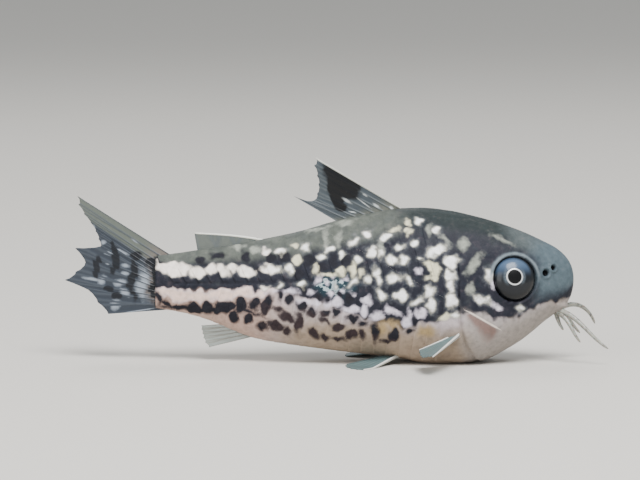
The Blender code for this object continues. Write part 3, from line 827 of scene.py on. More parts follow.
# Dark blotches of the back and of the pale lower flank, most of them one to a plate
DARK_MARKS: tuple[Mark, ...] = (
    (202, 310.4, 40, 3.0, 0), (158.5, 268, 2.6, 6.4, 0), (158, 301, 2.4, 7.0, 0),
    (250, 311, 12, 1.6, -24), (166, 304, 9.4, 2.6, -36), (180.5, 310.4, 9.0, 3.4, 0),
    (194, 308.6, 8.8, 6.2, 0),
    (208, 309, 5.2, 7.6, 0), (225, 308.4, 9.2, 8.2, 0), (241, 305.6, 9.0, 6.2, 72),
    (255.5, 302.6, 7.0, 4.4, 70), (267, 305, 10.0, 4.6, 68), (280.6, 296.4, 3.0, 5.2, 0),
    (291.6, 298.6, 4.2, 4.4, 0), (304, 291.6, 3.2, 3.2, 0), (301.5, 307, 5.0, 3.6, -36),
    (288, 316.5, 5.8, 3.6, -22), (278, 310, 5.4, 1.7, -40), (298.4, 325, 3.3, 9.6, 0),
    (248.6, 318, 4.1, 5.6, 0), (262, 327, 3.7, 4.4, 0), (276.5, 324.6, 7.2, 3.4, -8),
    (286.8, 331, 5.2, 3.0, -62), (234.5, 319, 3.2, 5.0, 0), (311.5, 313, 5.3, 4.6, -12),
    (325, 313.5, 4.6, 3.4, -20), (337.6, 311.5, 4.9, 4.4, 0), (351.6, 319, 5.6, 3.5, 0),
    (313, 332, 6.0, 3.2, -60), (324, 337, 5.6, 3.4, -55), (338, 326.4, 5.4, 3.6, 0),
    (338.5, 339.4, 5.4, 2.0, 0), (352, 333.6, 4.4, 4.2, -20), (361.4, 333, 2.4, 4.8, 0),
    (375, 332, 2.7, 9.0, 0), (393.6, 334.6, 5.6, 6.0, 0), (408.4, 333, 4.6, 3.6, 0),
    (326, 322, 3.4, 1.6, -40), (363.5, 323.5, 6.4, 2.6, -16), (318, 297.4, 3.4, 3.2, 0),
    (326.6, 298.4, 2.6, 2.6, 0), (340, 295, 3.4, 3.4, 0), (349.6, 299.4, 3.2, 4.0, 0),
    (414, 322, 2.2, 4.0, 0), (387, 341, 4.0, 1.8, 0), (245.5, 259, 4.6, 6.8, 0),
    (270.6, 260, 5.2, 5.6, 0), (284, 259.4, 6.0, 4.4, 0), (333, 263.4, 3.7, 6.2, 0),
    (320.6, 267, 4.6, 3.4, 0), (347, 262.4, 3.4, 4.2, 0), (309, 259, 4.4, 6.2, 0),
    (299.4, 272.4, 4.2, 4.0, 0), (218, 258, 6.0, 3.4, 0), (200, 262, 5.0, 3.0, 0),
    (160, 266, 3.2, 4.4, 0), (257.6, 270.5, 6.0, 2.4, -60),
)
# The marks by the mask that they make
COAT_MARKS = {
    "silver": SILVER_MARKS_AND_GLINT, "gold": GOLD_MARKS, "lilac": LILAC_MARKS,
    "dusky_and_glint": DUSKY_MARKS_AND_GLINT, "ochre": OCHRE_MARKS, "dark": DARK_MARKS,
}
# Zones of the coat: each fades in over shares of the body's height, counted from the
# belly, and over millimetres back from the snout
COAT_ZONES: dict[str, tuple[Ramp, Ramp]] = {
    # The crest is the back's own olive, with a painted sheen that lightens the rear of the back
    "crest_and_sheen": ((0.74, 0.92), (15.0, 22.0)),
    "nape": ((0.8, 0.99), (22.0, 15.0)),
    # The brow is a painted sheen: the top of the head lighter where the light falls from above
    "brow_sheen": ((0.76, 0.96), (9.0, 5.0)),
    "snout": ((0.16, 0.52), (6.6, 1.6)),
    # The tan zone is partly the belly's own tan, partly painted shade and a painted tan reflection
    # of the ground below
    "tan": ((0.34, 0.14), (34.0, 26.0)),
}
# Where the dark upper coat gives way to the pale belly, from the tail to the snout
BELLY_LINE = (
    (150, 293), (262, 292.5), (285, 294), (318, 300), (335, 306), (352, 314), (372, 322),
    (400, 327), (430, 322), (444, 318.5), (458, 311), (476, 313), (500, 321), (510, 319),
    (523, 314), (541, 306), (565, 300), (577, 297),
)
# The free edge of the gill membrane, pale against the cheek
GILL_EDGE = ((462.5, 309.0), (498.7, 329.4))


@dataclass(frozen=True)
class Coat:
    """The marks of the coat, as distances from their edges in millimetres."""

    form: BodyForm
    eyes: EyeForm
    mouth: MouthForm
    # How far the marks waver, and the lengths, number and usual sum of the waves in it
    waver: float = 0.12
    waver_mm: float = 1.2
    waver_sizes: Ramp = (0.7, 1.8)
    waves: int = 6
    waves_sum: float = 1.7
    seed: int = 11
    # Distance where no mark is near, and the pixels round a mark within which it is near
    far: float = 9.0
    margin_px: float = 14.0
    # The belly's tone stays below the lateral line, and the ash tone lies under it
    belly_off: float = 3.0
    belly_stop: Ramp = (0.0, 0.6)
    ash_below: float = 1.3
    # The tail's and the throat's tones, by millimetres back from the snout
    rear: Ramp = (26.0, 38.0)
    throat: Ramp = (14.0, 9.0)
    # The teal shine on the flank
    teal_pixel: Place = (335.0, 286.0)
    teal_half: Place = (2.8, 1.7)
    teal_edge: Ramp = (1.2, 0.3)
    # The gill membrane's edge, by shares of the way along it
    edge_start: Ramp = (-0.05, 0.25)
    edge_end: Ramp = (1.08, 0.85)
    # The red zone under that edge, which deepens along it
    blood_deep: float = 0.5
    blood_deepens: float = 2.6
    blood_deepest: float = 0.75
    blood_from: Ramp = (-0.05, 0.2)
    blood_to: Ramp = (1.0, 0.2)

    def wavered(self, places: np.ndarray) -> tuple[np.ndarray, np.ndarray]:
        """Slow uneven shifts along and round the skin, unlike on the two sides.

        Args:
            places: Skin points, in millimetres.

        Returns:
            Millimetres along the fish and millimetres round it.
        """
        rng = np.random.default_rng(self.seed)
        shifts = []
        for _ in range(2):
            found = np.zeros(places.shape[:2])
            for _ in range(self.waves):
                way = rng.normal(size=3)
                size = self.waver_mm * rng.uniform(*self.waver_sizes)
                way *= 2 * math.pi / (size * np.linalg.norm(way))
                found += np.sin(places @ way + rng.uniform(0, 2 * math.pi))
            shifts.append(found * self.waver / self.waves_sum)
        return shifts[0], shifts[1]

    def distance(
        self, marks: tuple[Mark, ...], x: np.ndarray, seen: np.ndarray, arc: np.ndarray
    ) -> np.ndarray:
        """Distance of every skin point from the nearest mark's edge, less than 0 inside.

        Args:
            marks: The marks.
            x: Places along the fish.
            seen: Heights as the photograph shows them.
            arc: Distances round the skin above the lateral line.

        Returns:
            Millimetres to the nearest edge.
        """
        found = np.full(x.shape, self.far)
        for mark in marks:
            at, height = photo_place(mark[:2])
            long, wide = mark[2:4]
            near = np.abs(x - at) < (max(long, wide) + self.margin_px) * PHOTO_SCALE
            gap = np.where(near, np.hypot(x - at, seen - height), np.inf)
            centre = arc.ravel()[np.argmin(gap)]
            reach = mark_reach(mark, x[near] - at, arc[near] - centre)
            edge = (reach - 1) * min(long, wide) * PHOTO_SCALE
            found[near] = np.minimum(found[near], edge)
        return found

    def masks(self, places: np.ndarray, arc: np.ndarray) -> dict[str, np.ndarray]:
        """Everything that the skin's material reads.

        Args:
            places: Rows by columns of skin points, in millimetres.
            arc: Distances round the skin above the lateral line.

        Returns:
            Numbers by mask name for every skin point.
        """
        x, z = places[..., 0], places[..., 2]
        back = self.form.snout_x - x
        seen = photo_height(places - np.stack([0 * x, self.form.sway(back), 0 * x], axis=-1))
        moved, lifted = self.wavered(places)
        u, v = x + moved, arc + lifted
        top, _, bottom, _ = self.form.section(back)
        height = (z - bottom) / np.maximum(top - bottom, LEAST)
        found = {name: self.distance(marks, u, seen, v) for name, marks in COAT_MARKS.items()}
        for name, (heights, backs) in COAT_ZONES.items():
            found[name] = zone(smooth(*heights, height) * smooth(*backs, back))
        under = seen + lifted - line_of(BELLY_LINE, u)
        under = under + self.belly_off * smooth(*self.belly_stop, arc)
        rear = zone(smooth(*self.rear, back))
        along_x, up = photo_place(self.teal_pixel)
        spread = np.hypot((x - along_x) / self.teal_half[0], (seen - up) / self.teal_half[1])
        found["teal"] = zone(smooth(*self.teal_edge, spread))
        found["under"] = under
        found["ash"] = under + self.ash_below
        # The greater of two masks is where both of them hold
        for name, one, other in (
            ("blush", under, rear),
            ("tan", under, found["tan"]),
            ("throat", under, zone(smooth(*self.throat, back))),
            ("pink", found["lilac"], rear),
            ("cream", found["silver"], rear),
            ("umber", np.maximum(found["dark"], found["ash"]), -rear),
        ):
            found[name] = np.maximum(one, other)
        found["membrane_edge"], found["gill_blood"] = self.gill_edge(x, seen, arc)
        # The nostril pits, which the skin darkens as painted shade
        found["nostril"] = zone(self.mouth.pits(self.form, places)[1])
        found["lid"] = zone(self.eyes.lids(self.form, places))
        return found

    def gill_edge(
        self, x: np.ndarray, seen: np.ndarray, arc: np.ndarray
    ) -> tuple[np.ndarray, np.ndarray]:
        """The free edge of the gill membrane, as a line, and the red zone under it.

        Args:
            x: Places along the fish.
            seen: Heights as the photograph shows them.
            arc: Distances round the skin above the lateral line.

        Returns:
            Millimetres off the line, which grow away from its run, and the red zone.
        """
        (ax, az), (bx, bz) = (photo_place(pixel) for pixel in GILL_EDGE)
        run = np.array([bx - ax, bz - az])
        length = np.linalg.norm(run)
        way = ((x - ax) * run[0] + (seen - az) * run[1]) / length**2
        off = ((x - ax) * run[1] - (seen - az) * run[0]) / length
        inside = smooth(*self.edge_start, way) * smooth(*self.edge_end, way)
        inside = inside * smooth(1.0, 0.0, arc)
        deep = self.blood_deep + self.blood_deepens * np.clip(way, 0.0, self.blood_deepest)
        blood = smooth(*self.blood_from, off) * smooth(*self.blood_to, off / deep) * inside
        return off / np.maximum(inside, LEAST), zone(blood)


@dataclass(frozen=True)
class Layer:
    """A colour laid over those before it, where a mask moved by noise is below nought.

    Marks are in millimetres from their edges, and zones run from 0.5 to -0.5. A layer
    with a line is laid along where its mask is nought, that far to both sides.
    """

    mask: str
    colour: str
    soft: float
    ragged: float
    noise: Noise = Noise.EDGE
    grow: float = 0.0
    most: float = 1.0
    line: float = 0.0


# The coat from the ground colour up. Soft dark greys give the bony back and snout, pale warm greys
# the bare belly, and whites to gold the guanine that makes the spots glitter.
# The duller gold and silver that come first are the rims of those spots. Some layers are painted
# light and shade: a sheen on the top of the head and the rear of the back, glints in the spots'
# white cores and in the teal, two highlights among the marks, shade and reflection low on the
# belly, and shade in the nostrils.
HIDE_LAYERS = (
    Layer("nape", "#313737", 0.45, 0.7, Noise.MOTTLE, most=0.95),
    # The back's olive, lightened by a painted sheen towards the rear
    Layer("crest_and_sheen", "#5f635d", 0.45, 0.9, Noise.MOTTLE),
    Layer("crest_and_sheen", "#4a4e4d", 0.3, 3.0, Noise.MOTTLE, grow=-0.5, most=0.5),
    # Painted sheen along the top of the head
    Layer("brow_sheen", "#52595a", 0.5, 0.7, Noise.MOTTLE),
    Layer("snout", "#525f66", 0.45, 0.7, Noise.MOTTLE),
    Layer("teal", "#263a42", 0.5, 1.2, Noise.SPECK, most=0.9),
    # Painted glints: pale specks over the teal shine
    Layer("teal", "#b4c5ca", 0.12, 2.6, Noise.SPECK, grow=-0.6, most=0.9),
    Layer("under", "#b8acae", 0.3, 0.6),
    Layer("ash", "#a89c98", 0.8, 0.9, Noise.MOTTLE),
    Layer("blush", "#b59a8e", 0.4, 0.6, Noise.MOTTLE),
    # Partly the belly's own tan, partly painted shade and a painted reflection of the ground
    Layer("tan", "#9c8b7a", 0.45, 0.9, Noise.MOTTLE),
    Layer("throat", "#9a9490", 0.4, 0.6, Noise.MOTTLE, most=0.85),
    Layer("gill_blood", "#6d4f47", 0.5, 0.9, most=0.75),
    Layer("gold", "#757570", 0.25, 0.5, grow=0.14, most=0.5),
    Layer("silver", "#75787c", 0.25, 0.5, grow=0.14, most=0.5),
    # Dull grey marks, with one painted highlight on the top of the head
    Layer("dusky_and_glint", "#8f9289", 0.3, 0.5),
    Layer("ochre", "#a08a66", 0.4, 0.6),
    Layer("lilac", "#d3cbd8", 0.2, 0.35),
    Layer("pink", "#e8cdc1", 0.25, 0.5),
    Layer("dark", "#25252b", 0.2, 0.5, grow=0.07),
    Layer("umber", "#372e30", 0.28, 0.5, grow=0.04),
    Layer("gold", "#dcd6b8", 0.18, 0.35),
    Layer("silver", "#a9a698", 0.15, 0.3),
    # White cores of the spots: partly the guanine's own white, partly painted glints
    Layer("silver", "#ffffff", 0.15, 0.3, grow=-0.12),
    Layer("cream", "#faeee3", 0.2, 0.3, most=0.8),
    Layer("lid", "#6c767c", 0.5, 0.3),
    Layer("membrane_edge", "#d9cec4", 0.05, 0.0, line=0.09),
    # Painted shade: the nostril pits near black
    Layer("nostril", "#101114", 0.4, 0.0),
)


@dataclass(frozen=True)
class WetHide:
    """Living catfish skin over bone: a thin wet film, with guanine under it that shines."""

    ground: str = "#292a32"
    layers: tuple[Layer, ...] = HIDE_LAYERS
    # The film is so thin that it gives only a weak and wide shine
    gloss: Gloss = Gloss(roughness=0.52, specular=0.045, coat=0.03, coat_roughness=0.18)
    detail: float = 3.0
    # Grain of the tone and height of the pores, then size and height of the skin teeth
    grain_from: Ramp = (-0.2, 0.2)
    grain_tone: Ramp = (1.14, 0.84)
    grain_high: float = 0.14
    grain_strong: float = 0.6
    tooth_mm: float = 0.15
    tooth_high: float = 0.03
    tooth_strong: float = 0.5

    def material(self) -> bpy.types.Material:
        """Builds the skin's material.

        Returns:
            A material that reads the coat's masks.
        """
        material, tree, shader = fresh_material("wet_catfish_hide")
        place = add(tree, "ShaderNodeTexCoord").outputs["Object"]
        even = {}
        for noise in Noise:
            size = {"Vector": place, "Scale": 1 / (noise.value * MM), "Detail": self.detail}
            found = add(tree, "ShaderNodeTexNoise", size).outputs[0]
            even[noise] = add(
                tree, "ShaderNodeMath", {0: found, 1: 0.5}, operation="SUBTRACT"
            ).outputs[0]
        colour, metal = self.laid(tree, even)
        ends = dict(zip((1, 2, 3, 4), self.grain_from + self.grain_tone))
        tone = add(tree, "ShaderNodeMapRange", {"Value": even[Noise.EDGE], **ends}).outputs[0]
        toned = add(
            tree, "ShaderNodeVectorMath", {0: colour, "Scale": tone}, operation="SCALE"
        ).outputs[0]
        tooth = add(
            tree, "ShaderNodeTexVoronoi", {"Vector": place, "Scale": 1 / (self.tooth_mm * MM)}
        ).outputs["Distance"]
        # Skin teeth and pores a few hundredths of a millimetre high, which dull the wet film
        teeth = {"Height": tooth, "Distance": self.tooth_high * MM}
        pores = {"Height": even[Noise.EDGE], "Distance": self.grain_high * MM}
        fine = add(tree, "ShaderNodeBump", {**teeth, "Strength": self.tooth_strong}).outputs[0]
        rough = add(
            tree, "ShaderNodeBump", {**pores, "Strength": self.grain_strong, "Normal": fine}
        ).outputs[0]
        for socket, value in (("Base Color", toned), ("Metallic", metal), ("Normal", rough)):
            tree.links.new(value, shader.inputs[socket])
        self.gloss.polish(shader)
        return material

    def laid(
        self, tree: bpy.types.NodeTree, even: dict[Noise, bpy.types.NodeSocket]
    ) -> tuple[bpy.types.NodeSocket, bpy.types.NodeSocket]:
        """Lays every layer over the ground colour.

        Args:
            tree: The material's node tree.
            even: Each grain of noise, even about nought.

        Returns:
            The colour, and how metallic the skin is.
        """
        colour, shares = linear(self.ground), {}
        for layer in self.layers:
            mask = add(tree, "ShaderNodeAttribute", attribute_name=layer.mask).outputs["Fac"]
            if layer.line:
                mask = add(tree, "ShaderNodeMath", {0: mask}, operation="ABSOLUTE").outputs[0]
            moved = add(
                tree, "ShaderNodeMath", {0: even[layer.noise], 1: layer.ragged, 2: mask},
                operation="MULTIPLY_ADD",
            ).outputs[0]
            edge = layer.grow + layer.line
            ends = {1: edge + layer.soft, 2: edge - layer.soft, 4: layer.most}
            share = add(
                tree, "ShaderNodeMapRange", {"Value": moved, **ends},
                interpolation_type="SMOOTHSTEP",
            ).outputs[0]
            colour = add(
                tree, "ShaderNodeMix", {0: share, 6: colour, 7: linear(layer.colour)},
                data_type="RGBA",
            ).outputs[2]
            shares[layer.mask] = share
        bright = {0: shares["silver"], 1: Sheen.GUANINE.value}
        return colour, add(tree, "ShaderNodeMath", bright, operation="MULTIPLY").outputs[0]


@dataclass
class Hide:
    """The whole skin of head, trunk and tail as one closed surface."""

    form: BodyForm
    plates: PlateForm
    gill: GillForm
    eyes: EyeForm
    mouth: MouthForm
    finish: WetHide
    # Rows from the snout to the gill edge, behind its fold, and to the ends of the plates
    head_rows: int = 128
    head_crowding: float = 1.5
    fold_rows: tuple[float, ...] = (0.06, 0.12, 0.18, 0.24, 0.32, 0.42)
    shoulder: float = 0.55
    plain_rows: int = 12
    end_gap: float = 0.1
    # Rings that close the root of the tail, as shares of its last ring
    end_shrinks: Spot = (0.8, 0.4, 0.0)
    upper_columns: int = 50
    lower_columns: int = 68

    def row_places(self) -> np.ndarray:
        """Places of the rows along the body, finest at the snout and the plate edges.

        Returns:
            Millimetres back from the snout.
        """
        top, start = self.gill.top, self.plates.start()
        head = top * np.linspace(0, 1, self.head_rows) ** self.head_crowding
        fold = top + np.array(self.fold_rows)
        shoulder = np.linspace(top + self.shoulder, start, self.plain_rows, endpoint=False)
        steps = np.array(self.plates.steps)
        numbers = (np.arange(self.plates.count)[:, None] + steps[None]).ravel()
        body = start + numbers * self.plates.pitch
        end = np.linspace(body[-1] + self.end_gap, self.form.length, self.plain_rows)
        return np.concatenate([head, fold, shoulder, body, end])

    def columns(self) -> tuple[np.ndarray, np.ndarray]:
        """Columns of the skin, down the right side and up the left.

        Returns:
            Each column's share of the way round, and its side.
        """
        upper = np.linspace(0, 1, self.upper_columns, endpoint=False)
        lower = np.linspace(1, 2, self.lower_columns)
        share = np.concatenate([upper, lower])
        back = share[1:-1][::-1]
        side = np.concatenate([np.ones(len(share)), -np.ones(len(back))])
        return np.concatenate([share, back]), side

    def lean(self, row: np.ndarray, share: np.ndarray) -> np.ndarray:
        """How far each point lies behind its row's place.

        Args:
            row: Places of the rows.
            share: Places round the skin.

        Returns:
            Millimetres back.
        """
        start = self.plates.start()
        last = start + self.plates.count * self.plates.pitch
        head = self.gill.lean(share) * np.minimum(row / self.gill.top, 1.0) ** 2
        blend = smooth(self.gill.top, start, row)
        straight = smooth(last, self.form.length, row)
        return (head * (1 - blend) + self.plates.lean(share) * blend) * (1 - straight)

    def normals(self, points: np.ndarray) -> np.ndarray:
        """Directions that the grid faces, away from the body's middle.

        Args:
            points: Rows by columns of skin points.

        Returns:
            A direction of length 1 at each of them.
        """
        around = np.roll(points, -1, axis=1) - np.roll(points, 1, axis=1)
        facing = np.cross(around, np.gradient(points, axis=0))
        facing[0] = [1.0, 0.0, 0.0]
        size = np.linalg.norm(facing, axis=-1, keepdims=True)
        facing /= np.maximum(size, TINY)
        middle = points.mean(axis=1, keepdims=True)
        inward = ((points - middle) * facing).sum(axis=-1).mean() < 0
        return -facing if inward else facing

    def relief(self, row: np.ndarray, share: np.ndarray, points: np.ndarray) -> np.ndarray:
        """How far each point stands out from the plain form.

        Args:
            row: Places of the rows.
            share: Places round the skin.
            points: Skin points of the plain form.

        Returns:
            Millimetres outward.
        """
        back = self.form.snout_x - points[..., 0]
        found = self.plates.relief(row, share, back) + self.gill.relief(row, share)
        found += self.mouth.relief(points) + self.eyes.relief(self.form, points)
        rims, pits = self.mouth.pits(self.form, points)
        return found + rims - self.mouth.nostril_deep * pits

    def build(self) -> bpy.types.Object:
        """Shapes the skin and dresses it.

        Returns:
            The finished piece.
        """
        row = self.row_places()[:, None]
        share, side = self.columns()
        share = np.broadcast_to(share, (len(row), len(share)))
        back = np.minimum(row + self.lean(row, share), self.form.length)
        base = self.form.skin(back, side * self.form.angle(share, back))
        step = np.linalg.norm(np.diff(base, axis=1, append=base[:, :1]), axis=-1)
        arc = self.arc_from_line(step)
        masks = Coat(self.form, self.eyes, self.mouth).masks(base, arc)
        raised = base + self.normals(base) * self.relief(row, share, base)[..., None]
        raised[..., 2] = np.maximum(raised[..., 2], 0.0)
        middle = raised[-1].mean(axis=0)
        ends = [middle + (raised[-1] - middle) * shrink for shrink in self.end_shrinks]
        masks = {name: np.concatenate([v] + [v[-1:]] * len(ends)) for name, v in masks.items()}
        piece = ring_mesh("skin", np.concatenate([raised, np.stack(ends)]), masks)
        dress(piece, self.finish.material())
        hand_over(piece, "skin", "head", "trunk", "tail")
        return piece

    def arc_from_line(self, step: np.ndarray) -> np.ndarray:
        """Distance round the skin above the lateral line, alike on both sides.

        Args:
            step: Millimetres from each point to the next one round the skin.

        Returns:
            Millimetres above the line, less than 0 below it.
        """
        count = self.upper_columns + self.lower_columns
        run = np.concatenate([np.zeros((len(step), 1)), np.cumsum(step, axis=1)[:, :-1]], axis=1)
        right = run[:, self.upper_columns : self.upper_columns + 1] - run[:, :count]
        left = right[:, 1:-1][:, ::-1]
        return np.concatenate([right, left], axis=1)


@dataclass(frozen=True)
class FinSkin:
    """Half clear smoky fin membrane on bony rays, wet on both faces."""

    membrane: str = "#3b444b"
    band: str = "#5d635c"
    ray: str = "#596063"
    spine: str = "#d5d5cc"
    ink: str = "#07090d"
    streak: str = "#bcc1c1"
    flesh: str = "#6c6d64"
    # How solid the bare membrane is
    clear: float = 0.84
    # A wet film with a soft shine, weak enough to leave the dark marks dark
    gloss: Gloss = Gloss(roughness=0.42, specular=0.25, coat=0.12, coat_roughness=0.2)
    cloud_mm: float = 0.5
    detail: float = 3.0
    fray: float = 0.8
    ink_edge: Ramp = (0.45, 1.05)
    streak_edge: Ramp = (0.55, 1.4)
    bump_high: float = 0.03
    bump_strong: float = 0.3

    def material(self, name: str) -> bpy.types.Material:
        """Builds a fin's material.

        Args:
            name: Name of the fin it is for.

        Returns:
            A material that reads the masks ray, root, band, ink, streak and spine.
        """
        material, tree, shader = fresh_material(f"wet_fin_membrane_{name}")
        place = add(tree, "ShaderNodeTexCoord").outputs["Object"]
        size = {"Vector": place, "Scale": 1 / (self.cloud_mm * MM), "Detail": self.detail}
        cloud = add(tree, "ShaderNodeTexNoise", size).outputs[0]
        colour, cover = linear(self.membrane), self.clear
        # Each mask with its colour and how solid the fin is there, from the membrane up
        for mask, shade, solid in (
            ("band", self.band, 0.96),
            ("root", self.flesh, 1.0),
            ("ray", self.ray, 0.9),
            ("ink", self.ink, 0.985),
            ("streak", self.streak, 0.95),
            ("spine", self.spine, 1.0),
        ):
            share = add(tree, "ShaderNodeAttribute", attribute_name=mask).outputs["Fac"]
            edge = {"ink": self.ink_edge, "streak": self.streak_edge}.get(mask)
            if edge:
                # The cloud runs about a half, which frays the marks along their edges
                broken = add(
                    tree, "ShaderNodeMath", {0: cloud, 1: self.fray, 2: share},
                    operation="MULTIPLY_ADD",
                ).outputs[0]
                share = add(
                    tree, "ShaderNodeMapRange", {"Value": broken, 1: edge[0], 2: edge[1]},
                    interpolation_type="SMOOTHSTEP",
                ).outputs[0]
            colour = add(
                tree, "ShaderNodeMix", {0: share, 6: colour, 7: linear(shade)}, data_type="RGBA"
            ).outputs[2]
            veil = {0: share, 2: cover, 3: solid}
            cover = add(tree, "ShaderNodeMix", veil, data_type="FLOAT").outputs[0]
        height = {"Height": cloud, "Distance": self.bump_high * MM}
        bump = add(tree, "ShaderNodeBump", {**height, "Strength": self.bump_strong}).outputs[0]
        for socket, value in (("Base Color", colour), ("Alpha", cover), ("Normal", bump)):
            tree.links.new(value, shader.inputs[socket])
        self.gloss.polish(shader)
        return material


# Smoky blue between the tail's rays, with bluish dashes
TAIL_SKIN = FinSkin(
    membrane="#29313c", ray="#454c55", streak="#8f98a3", flesh="#756c66", ink="#12161d", clear=0.88
)
# The clearest fin, with brownish rays
ANAL_SKIN = FinSkin(membrane="#97a19c", ray="#7d776c", clear=0.6)
# Blue-green between white edges, for the fins near the ground
PAIRED_SKIN = FinSkin(membrane="#566a6b", ray="#6c7f80", spine="#dcdcd6", clear=0.88)


@dataclass
class Sail:
    """One fin: a thin membrane between rays that fork towards their tips."""

    name: str
    roots: list[Place]
    tips: list[Place]
    # The fin's plane, and whether it follows the tail's sway or rests on the floor
    origin: Spot = (0.0, 0.0, 0.0)
    first: Spot = (1.0, 0.0, 0.0)
    second: Spot = (0.0, 0.0, 1.0)
    swayed: bool = True
    floor: bool = False
    spines: tuple[int, ...] = ()
    stands_for: tuple[str, ...] = ()
    # Marks of the membrane. Ink and dashes move with their rays, and the band counts rays.
    ink: tuple[Mark, ...] = ()
    streak: tuple[Mark, ...] = ()
    dashes: tuple[Mark, ...] = ()
    band: float = 0.0
    band_inner: float = 0.6
    jag: float = 0.12
    seed: int = 5
    finish: FinSkin = FinSkin()
    per_gap: int = 16
    rows: int = 48
    # Depth of the roots in the body, then half thickness of the membrane and the rays
    sink: float = 1.2
    membrane: float = 0.05
    membrane_taper: float = 0.5
    ray_high: float = 0.07
    ray_wide: float = 0.13
    ray_taper: float = 0.75
    ray_taper_bend: float = 1.3
    ray_fade: float = 0.4
    spine_high: float = 0.17
    spine_edge: Ramp = (0.24, 0.1)
    scallop: float = 0.018
    scallop_edge: Ramp = (0.0, 0.3)
    # How far the rays fork, and the gentle bend of the whole fin
    fork: float = 0.22
    fork_from: float = 0.4
    wave: float = 0.12
    wave_count: float = 2.3
    wave_start: float = 0.6
    film: float = 0.12
    # Where the flesh at the root and the marks fade
    flesh_edge: Ramp = (0.36, 0.1)
    ink_core: float = 0.6
    mark_edge: float = 1.5
    dash_edge: Ramp = (0.8, 0.35)

    def grid(self, form: BodyForm) -> tuple[np.ndarray, dict[str, np.ndarray]]:
        """Places and masks over both faces.

        Args:
            form: The body's form, for its sway.

        Returns:
            The closed rings from root to tip, and the masks on them.
        """
        gaps = len(self.roots) - 1
        share = np.linspace(0, gaps, gaps * self.per_gap + 1)
        low = np.minimum(share.astype(int), gaps - 1)
        way = np.linspace(0, 1, self.rows)[:, None]
        ray = self.rays(share, way)
        high, stiff = np.full(share.shape, self.ray_high), np.zeros(share.shape)
        for spine in self.spines:
            off = np.abs(share - spine)
            # A ray has half of the gap on either side
            high[off < 0.5] = self.spine_high
            stiff = np.maximum(stiff, smooth(*self.spine_edge, off))
        ray_half = high * ray * (1 - self.ray_taper * way**self.ray_taper_bend)
        half = self.membrane * (1 - self.membrane_taper * way) + ray_half
        turn = share / gaps * math.pi * self.wave_count + self.wave_start
        bend = self.wave * np.sin(turn)[None] * way**2
        flat = self.flat(share, low, way)
        front, rear = self.placed(flat, bend + half, form), self.placed(flat, bend - half, form)
        if self.floor:
            front, rear = self.rested(front, rear)
        places = (front + rear) / 2
        first, last = (np.concatenate([edge, edge[::-1]])[None] for edge in places[[0, -1]])
        rings = np.concatenate([first, np.concatenate([front, rear[:, ::-1]], axis=1), last])
        dashes = self.spread(self.jagged(places, low), self.dashes, 0.0)
        banded = smooth(self.band, self.band * self.band_inner, share) if self.band else 0 * share
        masks = {
            "ray": ray * (1 - self.ray_fade * way),
            "root": smooth(*self.flesh_edge, way),
            "spine": stiff,
            "band": banded,
            "ink": self.spread(self.jagged(places, np.round(share)), self.ink, self.ink_core),
            "streak": np.maximum(
                self.spread(places, self.streak, 0.0), dashes * smooth(*self.dash_edge, ray)
            ),
        }
        return rings, {name: self.both(np.broadcast_to(v, ray.shape)) for name, v in masks.items()}

    def flat(self, share: np.ndarray, low: np.ndarray, way: np.ndarray) -> np.ndarray:
        """Places in the fin's plane, with the outer edge scalloped between the rays.

        Args:
            share: Place across the fin, whole at each ray.
            low: Number of the ray before it.
            way: Place from the root to the tip.

        Returns:
            Rows by columns of flat places.
        """
        roots, tips = self.sunk()
        between = (share - low)[:, None]
        root = roots[low] * (1 - between) + roots[low + 1] * between
        tip = tips[low] * (1 - between) + tips[low + 1] * between
        off_ray = np.abs(share - np.round(share))
        tip += (root - tip) * self.scallop * smooth(*self.scallop_edge, off_ray)[:, None]
        return root[None] * (1 - way[..., None]) + tip[None] * way[..., None]

    def rays(self, share: np.ndarray, way: np.ndarray) -> np.ndarray:
        """Height of the rays from 0 to 1, each forked in two towards its tip.

        Args:
            share: Place across the fin, whole at each ray.
            way: Place from the root to the tip.

        Returns:
            Rows by columns of heights.
        """
        off = np.abs(share - np.round(share))[None]
        fork = self.fork * smooth(self.fork_from, 1.0, way)
        forked = np.maximum(ridge(off, fork, self.ray_wide), ridge(off, -fork, self.ray_wide))
        # The first ray and the last don't fork
        edges = (share < 0.5) | (share > len(self.roots) - 1.5)
        return np.where(edges[None], ridge(off, 0.0, self.ray_wide), forked)

    def sunk(self) -> tuple[np.ndarray, np.ndarray]:
        """Roots set back into the body along their rays.

        Returns:
            The roots and the tips.
        """
        roots, tips = np.array(self.roots, float), np.array(self.tips, float)
        run = tips - roots
        return roots - run / np.linalg.norm(run, axis=1, keepdims=True) * self.sink, tips

    def placed(self, flat: np.ndarray, off: np.ndarray, form: BodyForm) -> np.ndarray:
        """World places of flat ones.

        Args:
            flat: Places in the fin's plane.
            off: Distances off that plane.
            form: The body's form, for its sway.

        Returns:
            X, Y and Z along the last axis.
        """
        first, second = np.array(self.first), np.array(self.second)
        facing = np.cross(first, second)
        facing /= np.linalg.norm(facing)
        found = np.array(self.origin) + flat[..., :1] * first + flat[..., 1:] * second
        found = found + off[..., None] * facing
        if self.swayed:
            found[..., 1] += form.sway(form.snout_x - found[..., 0])
        return found

    def rested(self, front: np.ndarray, rear: np.ndarray) -> tuple[np.ndarray, np.ndarray]:
        """Both faces kept above the floor, with the upper one a film above the lower.

        Args:
            front: Places of one face.
            rear: Places of the other.

        Returns:
            The upper face and the lower one.
        """
        above = front[..., 2:] > rear[..., 2:]
        upper, lower = np.where(above, front, rear), np.where(above, rear, front)
        upper[..., 2] = np.maximum(upper[..., 2], self.film)
        lower[..., 2] = np.maximum(lower[..., 2], 0.0)
        return upper, lower

